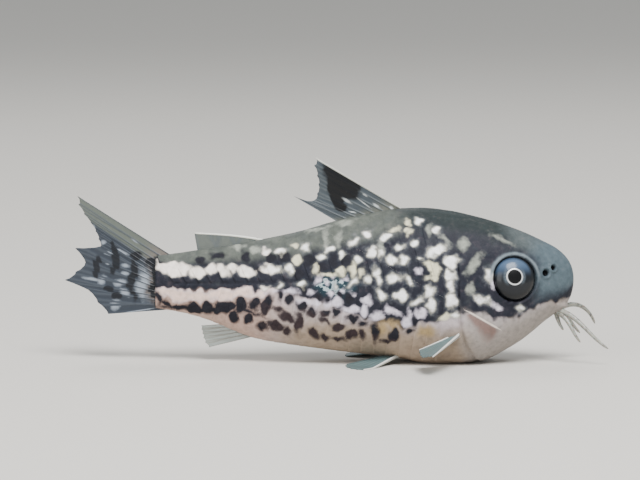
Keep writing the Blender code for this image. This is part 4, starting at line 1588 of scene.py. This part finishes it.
    def both(self, mask: np.ndarray) -> np.ndarray:
        """A mask over both faces and the two end rings."""
        wide = np.concatenate([mask, mask[:, ::-1]], axis=1)
        return np.concatenate([wide[:1], wide, wide[-1:]])

    def spread(self, places: np.ndarray, marks: tuple[Mark, ...], core: float) -> np.ndarray:
        """How far each place lies inside the nearest mark.

        Args:
            places: Rows by columns of places, in millimetres.
            marks: The marks.
            core: Share of a mark's reach that it fills to the full.

        Returns:
            From 0 outside to 1 in the core.
        """
        found = np.zeros(places.shape[:2])
        height = places[..., 2] * math.cos(PHOTO_ELEVATION)
        height = height + places[..., 1] * math.sin(PHOTO_ELEVATION)
        for mark in marks:
            x, z = photo_place(mark[:2])
            reach = mark_reach(mark, places[..., 0] - x, height - z)
            found = np.maximum(found, smooth(self.mark_edge, core, reach))
        return found

    def jagged(self, places: np.ndarray, order: np.ndarray) -> np.ndarray:
        """Places moved along the fish by an uneven amount for each ray.

        Args:
            places: Rows by columns of places, in millimetres.
            order: Number of the ray or gap of each column.

        Returns:
            The moved places.
        """
        shifts = np.random.default_rng(self.seed).normal(scale=self.jag, size=len(self.roots))
        moved = places.copy()
        moved[..., 0] += shifts[order.astype(int)][None]
        return moved

    def build(self, form: BodyForm) -> bpy.types.Object:
        """Shapes the fin and dresses it.

        Args:
            form: The body's form.

        Returns:
            The finished piece.
        """
        piece = ring_mesh(f"{self.name}_sail", *self.grid(form))
        dress(piece, self.finish.material(self.name))
        hand_over(piece, "fin", *(self.stands_for or (self.name,)))
        return piece


def spaced(first: float, last: float, count: int) -> list[float]:
    """Evenly spaced values from first to last."""
    return [float(value) for value in np.linspace(first, last, count)]


@dataclass(frozen=True)
class FinForm:
    """Where the rays of all the fins start and end, in millimetres as in the solids."""

    form: BodyForm
    dorsal_roots: Place = (-4.1, -10.9)
    dorsal_tips: tuple[Place, ...] = (
        (-12.97, 21.4), (-13.15, 20.6), (-12.85, 19.5), (-12.7, 18.6),
        (-12.85, 17.6), (-13.1, 16.95), (-13.9, 16.85), (-15.25, 17.35),
    )
    adipose_roots: Place = (-19.3, -25.4)
    adipose_edge: tuple[Place, ...] = (
        (-19.0, 12.95), (-21.3, 13.05), (-23.6, 13.35), (-25.7, 13.35),
    )
    tail_x: float = -29.6
    tail_edge_x: float = -28.3
    tail_corner: float = 2.5
    upper_roots: Place = (11.15, 8.5)
    lower_roots: Place = (8.1, 5.35)
    upper_tips: tuple[Place, ...] = (
        (-38.0, 17.2), (-37.9, 16.3), (-37.3, 15.3), (-36.6, 14.4),
        (-36.1, 13.5), (-35.8, 12.7), (-35.6, 11.9),
    )
    lower_tips: tuple[Place, ...] = (
        (-38.3, 11.7), (-37.2, 10.2), (-38.2, 9.2), (-39.4, 8.3),
        (-36.9, 7.3), (-35.9, 6.0), (-34.8, 4.8),
    )
    anal_roots: Place = (-19.7, -23.0)
    anal_tips: tuple[Place, ...] = (
        (-24.2, 1.4), (-24.6, 1.9), (-24.8, 2.4), (-24.9, 2.85), (-25.0, 3.3), (-25.0, 3.7),
    )
    pectoral_back: float = 12.1
    pectoral_height: float = 3.4
    pectoral_rays: int = 8
    pectoral_root: float = 1.1
    pectoral_spine: Place = (3.1, 8.0)
    pectoral_last: Place = (4.4, 1.8)
    pectoral_swell: float = 0.12
    pectoral_back_way: Spot = (-0.95, 0.0, -0.32)
    pectoral_droop: float = 0.05
    pelvic_back: float = 18.4
    pelvic_out: float = 2.6
    pelvic_first: Place = (3.6, 5.3)
    pelvic_last: Place = (5.4, 0.9)
    pelvic_drop: float = 0.132
    pelvic_rays: int = 6
    pelvic_root: Place = (1.3, -0.6)
    pelvic_swell: float = 0.16
    pelvic_raised: float = 0.1

    def on_edge(self, table: Table, x: float) -> Place:
        """Place on the line of the back or of the belly."""
        return x, float(along(table, np.array(self.form.snout_x - x)))

    def fan(self, first: Place, last: Place, count: int, swell: float) -> list[Place]:
        """Ray tips along a rounded outer edge.

        Args:
            first: The first ray's tip.
            last: The last ray's tip.
            count: Number of rays.
            swell: How far the edge swells beyond a straight one, as a share.

        Returns:
            The tip of each ray.
        """
        share = np.linspace(0, 1, count)[:, None]
        tips = np.array(first) * (1 - share) + np.array(last) * share
        return [tuple(tip) for tip in tips * (1 + swell * np.sin(math.pi * share))]

    def dorsal(self) -> Sail:
        """High sail with a spine in front and the black blotch.

        Returns:
            The fin, ready to build.
        """
        count = len(self.dorsal_tips)
        roots = [self.on_edge(self.form.top, x) for x in spaced(*self.dorsal_roots, count)]
        ink = (
            (340, 180, 19.5, 8.0, -37), (344, 189, 14.5, 7.6, -34), (334, 186, 12, 6.2, -78),
            (338, 199, 9, 5.0, -60), (341, 207, 6.4, 4.4, -15), (352, 186, 7.0, 7.0, 0),
        )
        streak = (
            (347, 201.3, 7.0, 1.7, -33), (364, 203.8, 11.0, 0.8, -37), (365, 195.6, 3.6, 1.2, -36),
            (352.6, 212.6, 4.6, 0.9, -12), (391.5, 208.5, 3.4, 1.8, -45), (376, 206, 5.0, 1.6, -36),
        )
        tips = list(self.dorsal_tips)
        return Sail("dorsal_fin", roots, tips, spines=(0,), ink=ink, streak=streak)

    def adipose(self) -> Sail:
        """Low sail held by one spine along its upper edge.

        Returns:
            The fin, ready to build.
        """
        count = len(self.adipose_edge)
        roots = [self.on_edge(self.form.top, x) for x in spaced(*self.adipose_roots, count)]
        edge = list(self.adipose_edge)
        skin = FinSkin(membrane="#5c635e", clear=0.75)
        return Sail("adipose_fin", roots, edge, scallop=0.0, ray_high=0.0, wave=0.0, finish=skin)

    def anal(self) -> Sail:
        """Small fin under the root of the tail, laid back along it.

        Returns:
            The fin, ready to build.
        """
        count = len(self.anal_tips)
        roots = [self.on_edge(self.form.bottom, x) for x in spaced(*self.anal_roots, count)]
        return Sail("anal_fin", roots, list(self.anal_tips), finish=ANAL_SKIN)

    def tail(self) -> Sail:
        """The forked tail fin, with bars of pale dashes between its rays.

        Returns:
            The fin, ready to build.
        """
        roots: list[Place] = []
        for heights, turned in ((self.upper_roots, False), (self.lower_roots, True)):
            count = len(self.upper_tips)
            for i, height in enumerate(spaced(*heights, count)):
                outer = (count - 1 - i if turned else i) / (count - 1)
                inner = min(outer * self.tail_corner, 1.0)
                x = self.tail_edge_x + (self.tail_x - self.tail_edge_x) * inner
                roots.append((x, height))
        dashes = (
            (142.5, 284, 7.2, 22, 0), (124, 252.4, 8.6, 2.0, -25), (123.5, 266, 5.6, 2.6, -12),
            (122.5, 274, 5.0, 2.6, 0), (121.5, 283.5, 7.0, 5.0, 0), (125, 293, 6.0, 5.4, 0),
            (106, 254, 5.4, 2.6, -8), (106, 264, 3.6, 1.8, 0), (112, 305.5, 6.4, 6.4, 0),
            (104, 281, 5.4, 6.0, 0),
        )
        ink = (
            (154.2, 284, 3.0, 24, 0), (132.4, 280, 3.6, 19, 0), (137, 257, 4.6, 4.4, 0),
            (113.6, 259, 3.4, 15, 0), (108, 289.6, 4.6, 3.0, 0), (113.5, 296.4, 5.0, 3.4, 0),
            (150, 262, 3.0, 3.4, 0), (97, 268, 2.6, 12.0, 8),
        )
        streak = (
            (92, 280, 14, 2.0, -10), (92.5, 227.5, 2.4, 3.4, 30), (102.5, 243, 3.2, 3.0, 0),
            (134, 241.4, 5.0, 1.0, -36), (138, 311.4, 24, 0.8, 9),
        )
        return Sail(
            "tail_fin", roots, [*self.upper_tips, *self.lower_tips],
            stands_for=("tail_fin_upper", "tail_fin_lower"),
            ink=ink, streak=streak, dashes=dashes, band=3.4, jag=0.22, finish=TAIL_SKIN,
        )

    def pectoral(self, side: Side) -> Sail:
        """Side fin held out like a wing, with its spine in front.

        Args:
            side: The side of the fish.

        Returns:
            The fin, ready to build.
        """
        count = self.pectoral_rays
        base = self.form.flank(self.pectoral_back, self.pectoral_height, side)
        roots = [(x, 0.0) for x in spaced(0.0, self.pectoral_root, count)]
        tips = self.fan(self.pectoral_spine, self.pectoral_last, count, self.pectoral_swell)
        return Sail(
            f"pectoral_fin_{side.name.lower()}", roots, tips, tuple(base),
            self.pectoral_back_way, (0.0, side.value, -self.pectoral_droop),
            swayed=False, spines=(0, count - 1), finish=PAIRED_SKIN,
        )

    def pelvic(self, side: Side) -> Sail:
        """Belly fin spread on the ground.

        Args:
            side: The side of the fish.

        Returns:
            The fin, ready to build.
        """
        count = self.pelvic_rays
        _, middle, bottom, half_width = (
            float(v) for v in self.form.section(np.array(self.pelvic_back))
        )
        share = self.pelvic_out / half_width
        power = float(along(self.form.belly_fullness, np.array(self.pelvic_back)))
        height = middle + (bottom - middle) * (1 - share**power) ** (1 / power)
        x = self.form.snout_x - self.pelvic_back
        back, inward = (spaced(0.0, end, count) for end in self.pelvic_root)
        roots = list(zip(back, inward))
        tips = self.fan(self.pelvic_first, self.pelvic_last, count, self.pelvic_swell)
        return Sail(
            f"pelvic_fin_{side.name.lower()}", roots, tips,
            (x, side.value * self.pelvic_out, height + self.pelvic_raised),
            (-1.0, 0.0, -self.pelvic_drop), (0.0, side.value, -self.pelvic_drop),
            swayed=False, floor=True, wave=0.0, spines=(0,), finish=PAIRED_SKIN,
        )


@dataclass(frozen=True)
class EyeGloss:
    """A living eye: black pupil, a ring of silver guanine and a dark blue-black globe, with a
    painted bluish reflection of the sky over its upper part.
    """

    iris: str = "#15181d"
    # Painted reflection of the sky: a soft bluish highlight over the globe's upper part
    sky: str = "#475b74"
    rim: str = "#0e1013"
    halo: str = "#5c666e"
    ring: str = "#f4f6f6"
    pupil: str = "#030304"
    pupil_mm: float = 0.76
    ring_mm: float = 0.86
    rim_mm: float = 1.95
    # How those edges fade, in millimetres
    rim_edge: Ramp = (-0.2, 0.15)
    ring_edge: Ramp = (0.05, -0.02)
    pupil_edge: Ramp = (0.03, -0.04)
    fleck_mm: float = 0.22
    detail: float = 3.0
    # The wet cornea gives one small bright reflection
    gloss: Gloss = Gloss(roughness=0.3, specular=0.2, coat=0.35, coat_roughness=0.15)

    def material(self) -> bpy.types.Material:
        """Builds the globe's material, by the distance from the pupil's middle.

        Returns:
            A material that reads the masks reach, halo and sky, where sky places the painted
            reflection of the sky.
        """
        material, tree, shader = fresh_material("wet_eye_globe")
        reach, halo, sky = (
            add(tree, "ShaderNodeAttribute", attribute_name=mask).outputs["Fac"]
            for mask in ("reach", "halo", "sky")
        )
        place = add(tree, "ShaderNodeTexCoord").outputs["Object"]
        size = {"Vector": place, "Scale": 1 / (self.fleck_mm * MM), "Detail": self.detail}
        fleck = add(tree, "ShaderNodeTexNoise", size).outputs[0]
        glitter = add(
            tree, "ShaderNodeMath", {0: fleck, 1: halo}, operation="MULTIPLY", use_clamp=True
        ).outputs[0]
        rim, ringed, inside = (
            add(tree, "ShaderNodeMapRange", {"Value": reach, 1: at + low, 2: at + high}).outputs[0]
            for at, (low, high) in (
                (self.rim_mm, self.rim_edge),
                (self.ring_mm, self.ring_edge),
                (self.pupil_mm, self.pupil_edge),
            )
        )
        colour = linear(self.iris)
        for share, shade in (
            (sky, self.sky), (rim, self.rim), (glitter, self.halo),
            (ringed, self.ring), (inside, self.pupil),
        ):
            colour = add(
                tree, "ShaderNodeMix", {0: share, 6: colour, 7: linear(shade)}, data_type="RGBA"
            ).outputs[2]
        shine = add(
            tree, "ShaderNodeMath", {0: ringed, 1: inside}, operation="SUBTRACT", use_clamp=True
        ).outputs[0]
        metal = add(
            tree, "ShaderNodeMath", {0: shine, 1: Sheen.SCLERA.value}, operation="MULTIPLY"
        ).outputs[0]
        tree.links.new(colour, shader.inputs["Base Color"])
        tree.links.new(metal, shader.inputs["Metallic"])
        self.gloss.polish(shader)
        return material


@dataclass
class Eye:
    """One eye: a flattened globe with its iris and pupil."""

    form: BodyForm
    eyes: EyeForm
    side: Side
    finish: EyeGloss
    # Where the pupil looks, and how the glitter round it and the painted sky reflection above it
    # fade
    pupil_forward: float = -0.28
    pupil_up: float = 0.2
    flatness: float = 0.95
    halo_strong: float = 1.5
    halo_edge: Ramp = (1.32, 0.95)
    halo_ends: Ramp = (0.2, 1.0)
    sky_reflection_edge: Ramp = (-0.1, 1.5)
    segments: int = 96
    rings: int = 64

    def build(self) -> None:
        """Shapes the globe, measures it from the pupil and dresses it."""
        centre, facing = self.eyes.place(self.form, self.side)
        turn = Vector(facing).to_track_quat("Z", "Y")
        wide = self.eyes.radius * MM
        deselect_all()
        bpy.ops.mesh.primitive_uv_sphere_add(
            segments=self.segments, ring_count=self.rings, radius=1.0,
            scale=(wide, wide, self.eyes.depth * self.flatness * MM),
            location=centre * MM, rotation=turn.to_euler(),
        )
        bpy.ops.object.transform_apply(location=True, rotation=True, scale=True)
        bpy.ops.object.shade_smooth()
        piece = bpy.context.object
        piece.name = piece.data.name = f"eye_globe_{self.side.name.lower()}"
        places = np.empty(len(piece.data.vertices) * 3, np.float32)
        piece.data.vertices.foreach_get("co", places)
        off = places.reshape(-1, 3) / MM - centre
        forward = np.cross([0.0, 0.0, 1.0], facing) * -self.side.value
        forward /= np.linalg.norm(forward)
        upright = np.cross(facing, forward) * -self.side.value
        along_x = off @ forward - self.pupil_forward
        along_z = off @ upright - self.pupil_up
        reach = np.hypot(along_x, along_z)
        across = (along_x / np.maximum(reach, LEAST)) ** 2
        # Grey glitter shows before and behind the pupil
        halo = smooth(*self.halo_edge, reach) * smooth(*self.halo_ends, across)
        # The globe's upper part takes the painted sky reflection
        sky = smooth(*self.sky_reflection_edge, along_z)
        write_masks(piece, {"reach": reach, "halo": self.halo_strong * halo, "sky": sky})
        dress(piece, self.finish.material())
        hand_over(piece, "eye", f"eye_{self.side.name.lower()}")


@dataclass(frozen=True)
class BarbelFlesh:
    """Soft tasting flesh, wet and half clear, with dark freckles."""

    flesh: str = "#8d8d83"
    freckle: str = "#5a5852"
    freckle_mm: float = 0.35
    freckle_edge: Ramp = (0.52, 0.7)
    detail: float = 2.0
    # Light soaks a little way in, and the slime over it shines
    soak: float = 0.25
    soak_mm: float = 0.3
    gloss: Gloss = Gloss(roughness=0.35, coat=0.5)

    def material(self) -> bpy.types.Material:
        """Builds the barbels' material.

        Returns:
            A material that needs no masks.
        """
        material, tree, shader = fresh_material("barbel_flesh")
        place = add(tree, "ShaderNodeTexCoord").outputs["Object"]
        size = {"Vector": place, "Scale": 1 / (self.freckle_mm * MM), "Detail": self.detail}
        freckles = add(tree, "ShaderNodeTexNoise", size).outputs[0]
        ends = dict(zip((1, 2), self.freckle_edge))
        share = add(tree, "ShaderNodeMapRange", {"Value": freckles, **ends}).outputs[0]
        colours = {0: share, 6: linear(self.flesh), 7: linear(self.freckle)}
        mixed = add(tree, "ShaderNodeMix", colours, data_type="RGBA").outputs[2]
        tree.links.new(mixed, shader.inputs["Base Color"])
        shader.inputs["Subsurface Weight"].default_value = self.soak
        shader.inputs["Subsurface Scale"].default_value = self.soak_mm * MM
        self.gloss.polish(shader)
        return material


@dataclass(frozen=True)
class Barbel:
    """One barbel, or a thin spine, as a tapering tube along a curve, in millimetres."""

    name: str
    radius: float
    controls: tuple[Spot, ...]
    rings: int = 40
    sides: int = 16
    sunk: float = 4.0
    taper: float = 0.62
    tip_turns: float = 14.0

    def shape(self, piece_name: str) -> bpy.types.Object:
        """Shapes the tube.

        Args:
            piece_name: Name of the piece.

        Returns:
            The piece without a material.
        """
        way = np.linspace(0, 1, self.rings)
        points = np.array(self.controls)
        mixed = [np.repeat(point[None], self.rings, axis=0) for point in points]
        while len(mixed) > 1:
            share = way[:, None]
            mixed = [a * (1 - share) + b * share for a, b in zip(mixed, mixed[1:])]
        middle = mixed[0]
        into_head = np.linspace(self.sunk, 0, self.rings)[:, None]
        middle = middle - (middle[1] - middle[0]) * into_head
        run = np.gradient(middle, axis=0)
        run /= np.linalg.norm(run, axis=1, keepdims=True)
        sideways = np.cross(run, [0.0, 0.0, 1.0])
        sideways /= np.linalg.norm(sideways, axis=1, keepdims=True)
        upright = np.cross(sideways, run)
        turn = np.linspace(0, 2 * math.pi, self.sides, endpoint=False)
        tip = np.sqrt(np.clip((1 - way) * self.tip_turns, 0, 1))
        size = self.radius * (1 - self.taper * way) * tip
        round_ = (
            sideways[:, None] * np.cos(turn)[None, :, None]
            + upright[:, None] * np.sin(turn)[None, :, None]
        )
        rings = middle[:, None] + round_ * size[:, None, None]
        rings[0] = middle[0]
        return ring_mesh(piece_name, rings, {})

    def build(self, material: bpy.types.Material) -> None:
        """Shapes the barbel, dresses it and puts it in place of its node.

        Args:
            material: The barbels' material.
        """
        piece = self.shape(f"{self.name}_flesh")
        dress(piece, material)
        hand_over(piece, "barbel", self.name)


BARBELS = (
    Barbel(
        "long_barbel_right", 0.32,
        ((12.6, -1.2, 5.5), (14.9, -2.5, 5.2), (15.6, -3.0, 2.9), (17.5, -3.6, 1.7)),
    ),
    Barbel(
        "short_barbel_right", 0.3,
        ((12.5, -1.15, 5.2), (13.9, -2.2, 4.6), (13.7, -2.6, 3.4), (14.6, -2.9, 2.3)),
    ),
    Barbel(
        "long_barbel_left", 0.32,
        ((12.6, 1.2, 5.5), (14.6, 2.3, 6.8), (16.0, 3.0, 5.6), (16.5, 3.5, 3.5)),
    ),
    Barbel(
        "short_barbel_left", 0.3,
        ((12.5, 1.15, 5.2), (13.8, 2.2, 4.8), (14.0, 2.6, 3.6), (14.9, 3.0, 2.6)),
    ),
    Barbel(
        "chin_barbel_right", 0.28,
        ((12.2, -0.55, 5.1), (12.3, -0.8, 4.3), (12.5, -1.0, 3.9), (12.9, -1.1, 3.4)),
    ),
    Barbel(
        "chin_barbel_left", 0.28,
        ((12.2, 0.55, 5.1), (12.3, 0.8, 4.3), (12.5, 1.0, 3.9), (12.9, 1.1, 3.4)),
    ),
)
# The spine that holds up the adipose fin
ADIPOSE_SPINE = Barbel(
    "adipose_spine", 0.13,
    ((-17.6, 0.25, 12.5), (-20.4, 0.35, 13.2), (-23.2, 0.62, 13.3), (-25.8, 0.75, 13.4)),
    sunk=0.0, taper=0.4,
)


@dataclass(frozen=True)
class SpineBone:
    """Bare pale bone of a fin spine, worn smooth, so that it shines a little."""

    bone: str = "#e4e4da"
    gloss: Gloss = Gloss(roughness=0.3)

    def material(self) -> bpy.types.Material:
        """Builds the bone's material.

        Returns:
            A material of one colour.
        """
        material, _, shader = fresh_material("fin_spine_bone")
        shader.inputs["Base Color"].default_value = linear(self.bone)
        self.gloss.polish(shader)
        return material


@dataclass(frozen=True)
class Paper:
    """Pale matt backdrop paper, whose fibres keep the floor free of reflections."""

    colour: str = "#cfcbc4"
    gloss: Gloss = Gloss(roughness=0.9)
    fibre_mm: float = 0.8
    fibre_high: float = 0.05
    fibre_strong: float = 0.2
    detail: float = 4.0

    def material(self) -> bpy.types.Material:
        """Builds the paper's material.

        Returns:
            A material of one colour with fine fibres.
        """
        material, tree, shader = fresh_material("studio_paper")
        place = add(tree, "ShaderNodeTexCoord").outputs["Object"]
        size = {"Vector": place, "Scale": 1 / (self.fibre_mm * MM), "Detail": self.detail}
        fibre = add(tree, "ShaderNodeTexNoise", size).outputs[0]
        height = {"Height": fibre, "Distance": self.fibre_high * MM}
        bump = add(tree, "ShaderNodeBump", {**height, "Strength": self.fibre_strong}).outputs[0]
        tree.links.new(bump, shader.inputs["Normal"])
        shader.inputs["Base Color"].default_value = linear(self.colour)
        self.gloss.polish(shader)
        return material


@dataclass(frozen=True)
class Lamp:
    """A soft square light: its place and size in metres, and its power in watts."""

    name: str
    place: Spot
    size: float
    power: float

    def build(self, target: Spot) -> None:
        """Hangs the light so that it faces the target.

        Args:
            target: Place that it faces, in metres.
        """
        data = bpy.data.lights.new(self.name, "AREA")
        data.size, data.energy = self.size, self.power
        lamp = bpy.data.objects.new(self.name, data)
        bpy.context.scene.collection.objects.link(lamp)
        lamp.location = self.place
        aim = Vector(target) - lamp.location
        lamp.rotation_euler = aim.to_track_quat("-Z", "Y").to_euler()


@dataclass
class Studio:
    """Pale floor, soft light and a long lens at the photograph's angle."""

    lens: float = 250.0
    sensor: float = 36.0
    clip: Ramp = (0.01, 10.0)
    floor_half: float = 2.5
    paper: Paper = Paper()
    lamps: tuple[Lamp, ...] = (
        Lamp("key_light", (0.08, -0.24, 0.42), 0.26, 4.1),
        Lamp("fill_light", (-0.3, -0.3, 0.12), 0.3, 0.9),
        Lamp("back_light", (-0.05, 0.32, 0.34), 0.2, 0.5),
    )
    target: Spot = (-0.01, 0.0, 0.008)
    sky: str = "#dfe3e6"
    sky_strong: float = 0.75

    def camera(self) -> None:
        """Sets the camera so that the fish fills the photograph's frame alike."""
        distance = PHOTO_WIDTH * PHOTO_SCALE * MM * self.lens / self.sensor
        x, z = photo_place(PHOTO_CENTRE)
        turn = PHOTO_ELEVATION
        away = Vector((0.0, -math.cos(turn), math.sin(turn)))
        data = bpy.data.cameras.new("camera")
        data.lens, data.sensor_width = self.lens, self.sensor
        data.clip_start, data.clip_end = self.clip
        camera = bpy.data.objects.new("camera", data)
        bpy.context.scene.collection.objects.link(camera)
        camera.location = Vector((x * MM, 0.0, z * MM)) + away * distance
        camera.rotation_euler = (math.pi / 2 - turn, 0.0, 0.0)
        bpy.context.scene.camera = camera

    def ground(self) -> None:
        """Lays the paper on the ground, wide enough to fill the picture."""
        deselect_all()
        bpy.ops.mesh.primitive_plane_add(size=2 * self.floor_half, location=(0, 0, 0))
        floor = bpy.context.object
        floor.name = "studio_floor"
        dress(floor, self.paper.material())

    def build(self) -> None:
        """Sets up the camera, the floor, the lights and the sky."""
        self.camera()
        self.ground()
        for lamp in self.lamps:
            lamp.build(self.target)
        world = bpy.data.worlds.new("studio")
        bpy.context.scene.world = world
        world.use_nodes = True
        sky = world.node_tree.nodes["Background"]
        sky.inputs["Color"].default_value = linear(self.sky)
        sky.inputs["Strength"].default_value = self.sky_strong


def main() -> None:
    """Builds every piece in turn and reports it."""
    logging.basicConfig(level=logging.INFO, format="%(name)s %(message)s")
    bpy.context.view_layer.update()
    Studio().build()
    form, plates, gill = BodyForm(), PlateForm(), GillForm()
    eyes, mouth = EyeForm(), MouthForm()
    Hide(form, plates, gill, eyes, mouth, WetHide()).build()
    fins = FinForm(form)
    sails = [fins.dorsal(), fins.adipose(), fins.anal(), fins.tail()]
    for side in Side:
        Eye(form, eyes, side, EyeGloss()).build()
        sails += [fins.pectoral(side), fins.pelvic(side)]
    for sail in sails:
        sail.build(form)
    spine = ADIPOSE_SPINE.shape(ADIPOSE_SPINE.name)
    dress(spine, SpineBone().material())
    hand_over(spine, "fin")
    flesh = BarbelFlesh().material()
    for barbel in BARBELS:
        barbel.build(flesh)


if __name__ == "__main__":
    main()
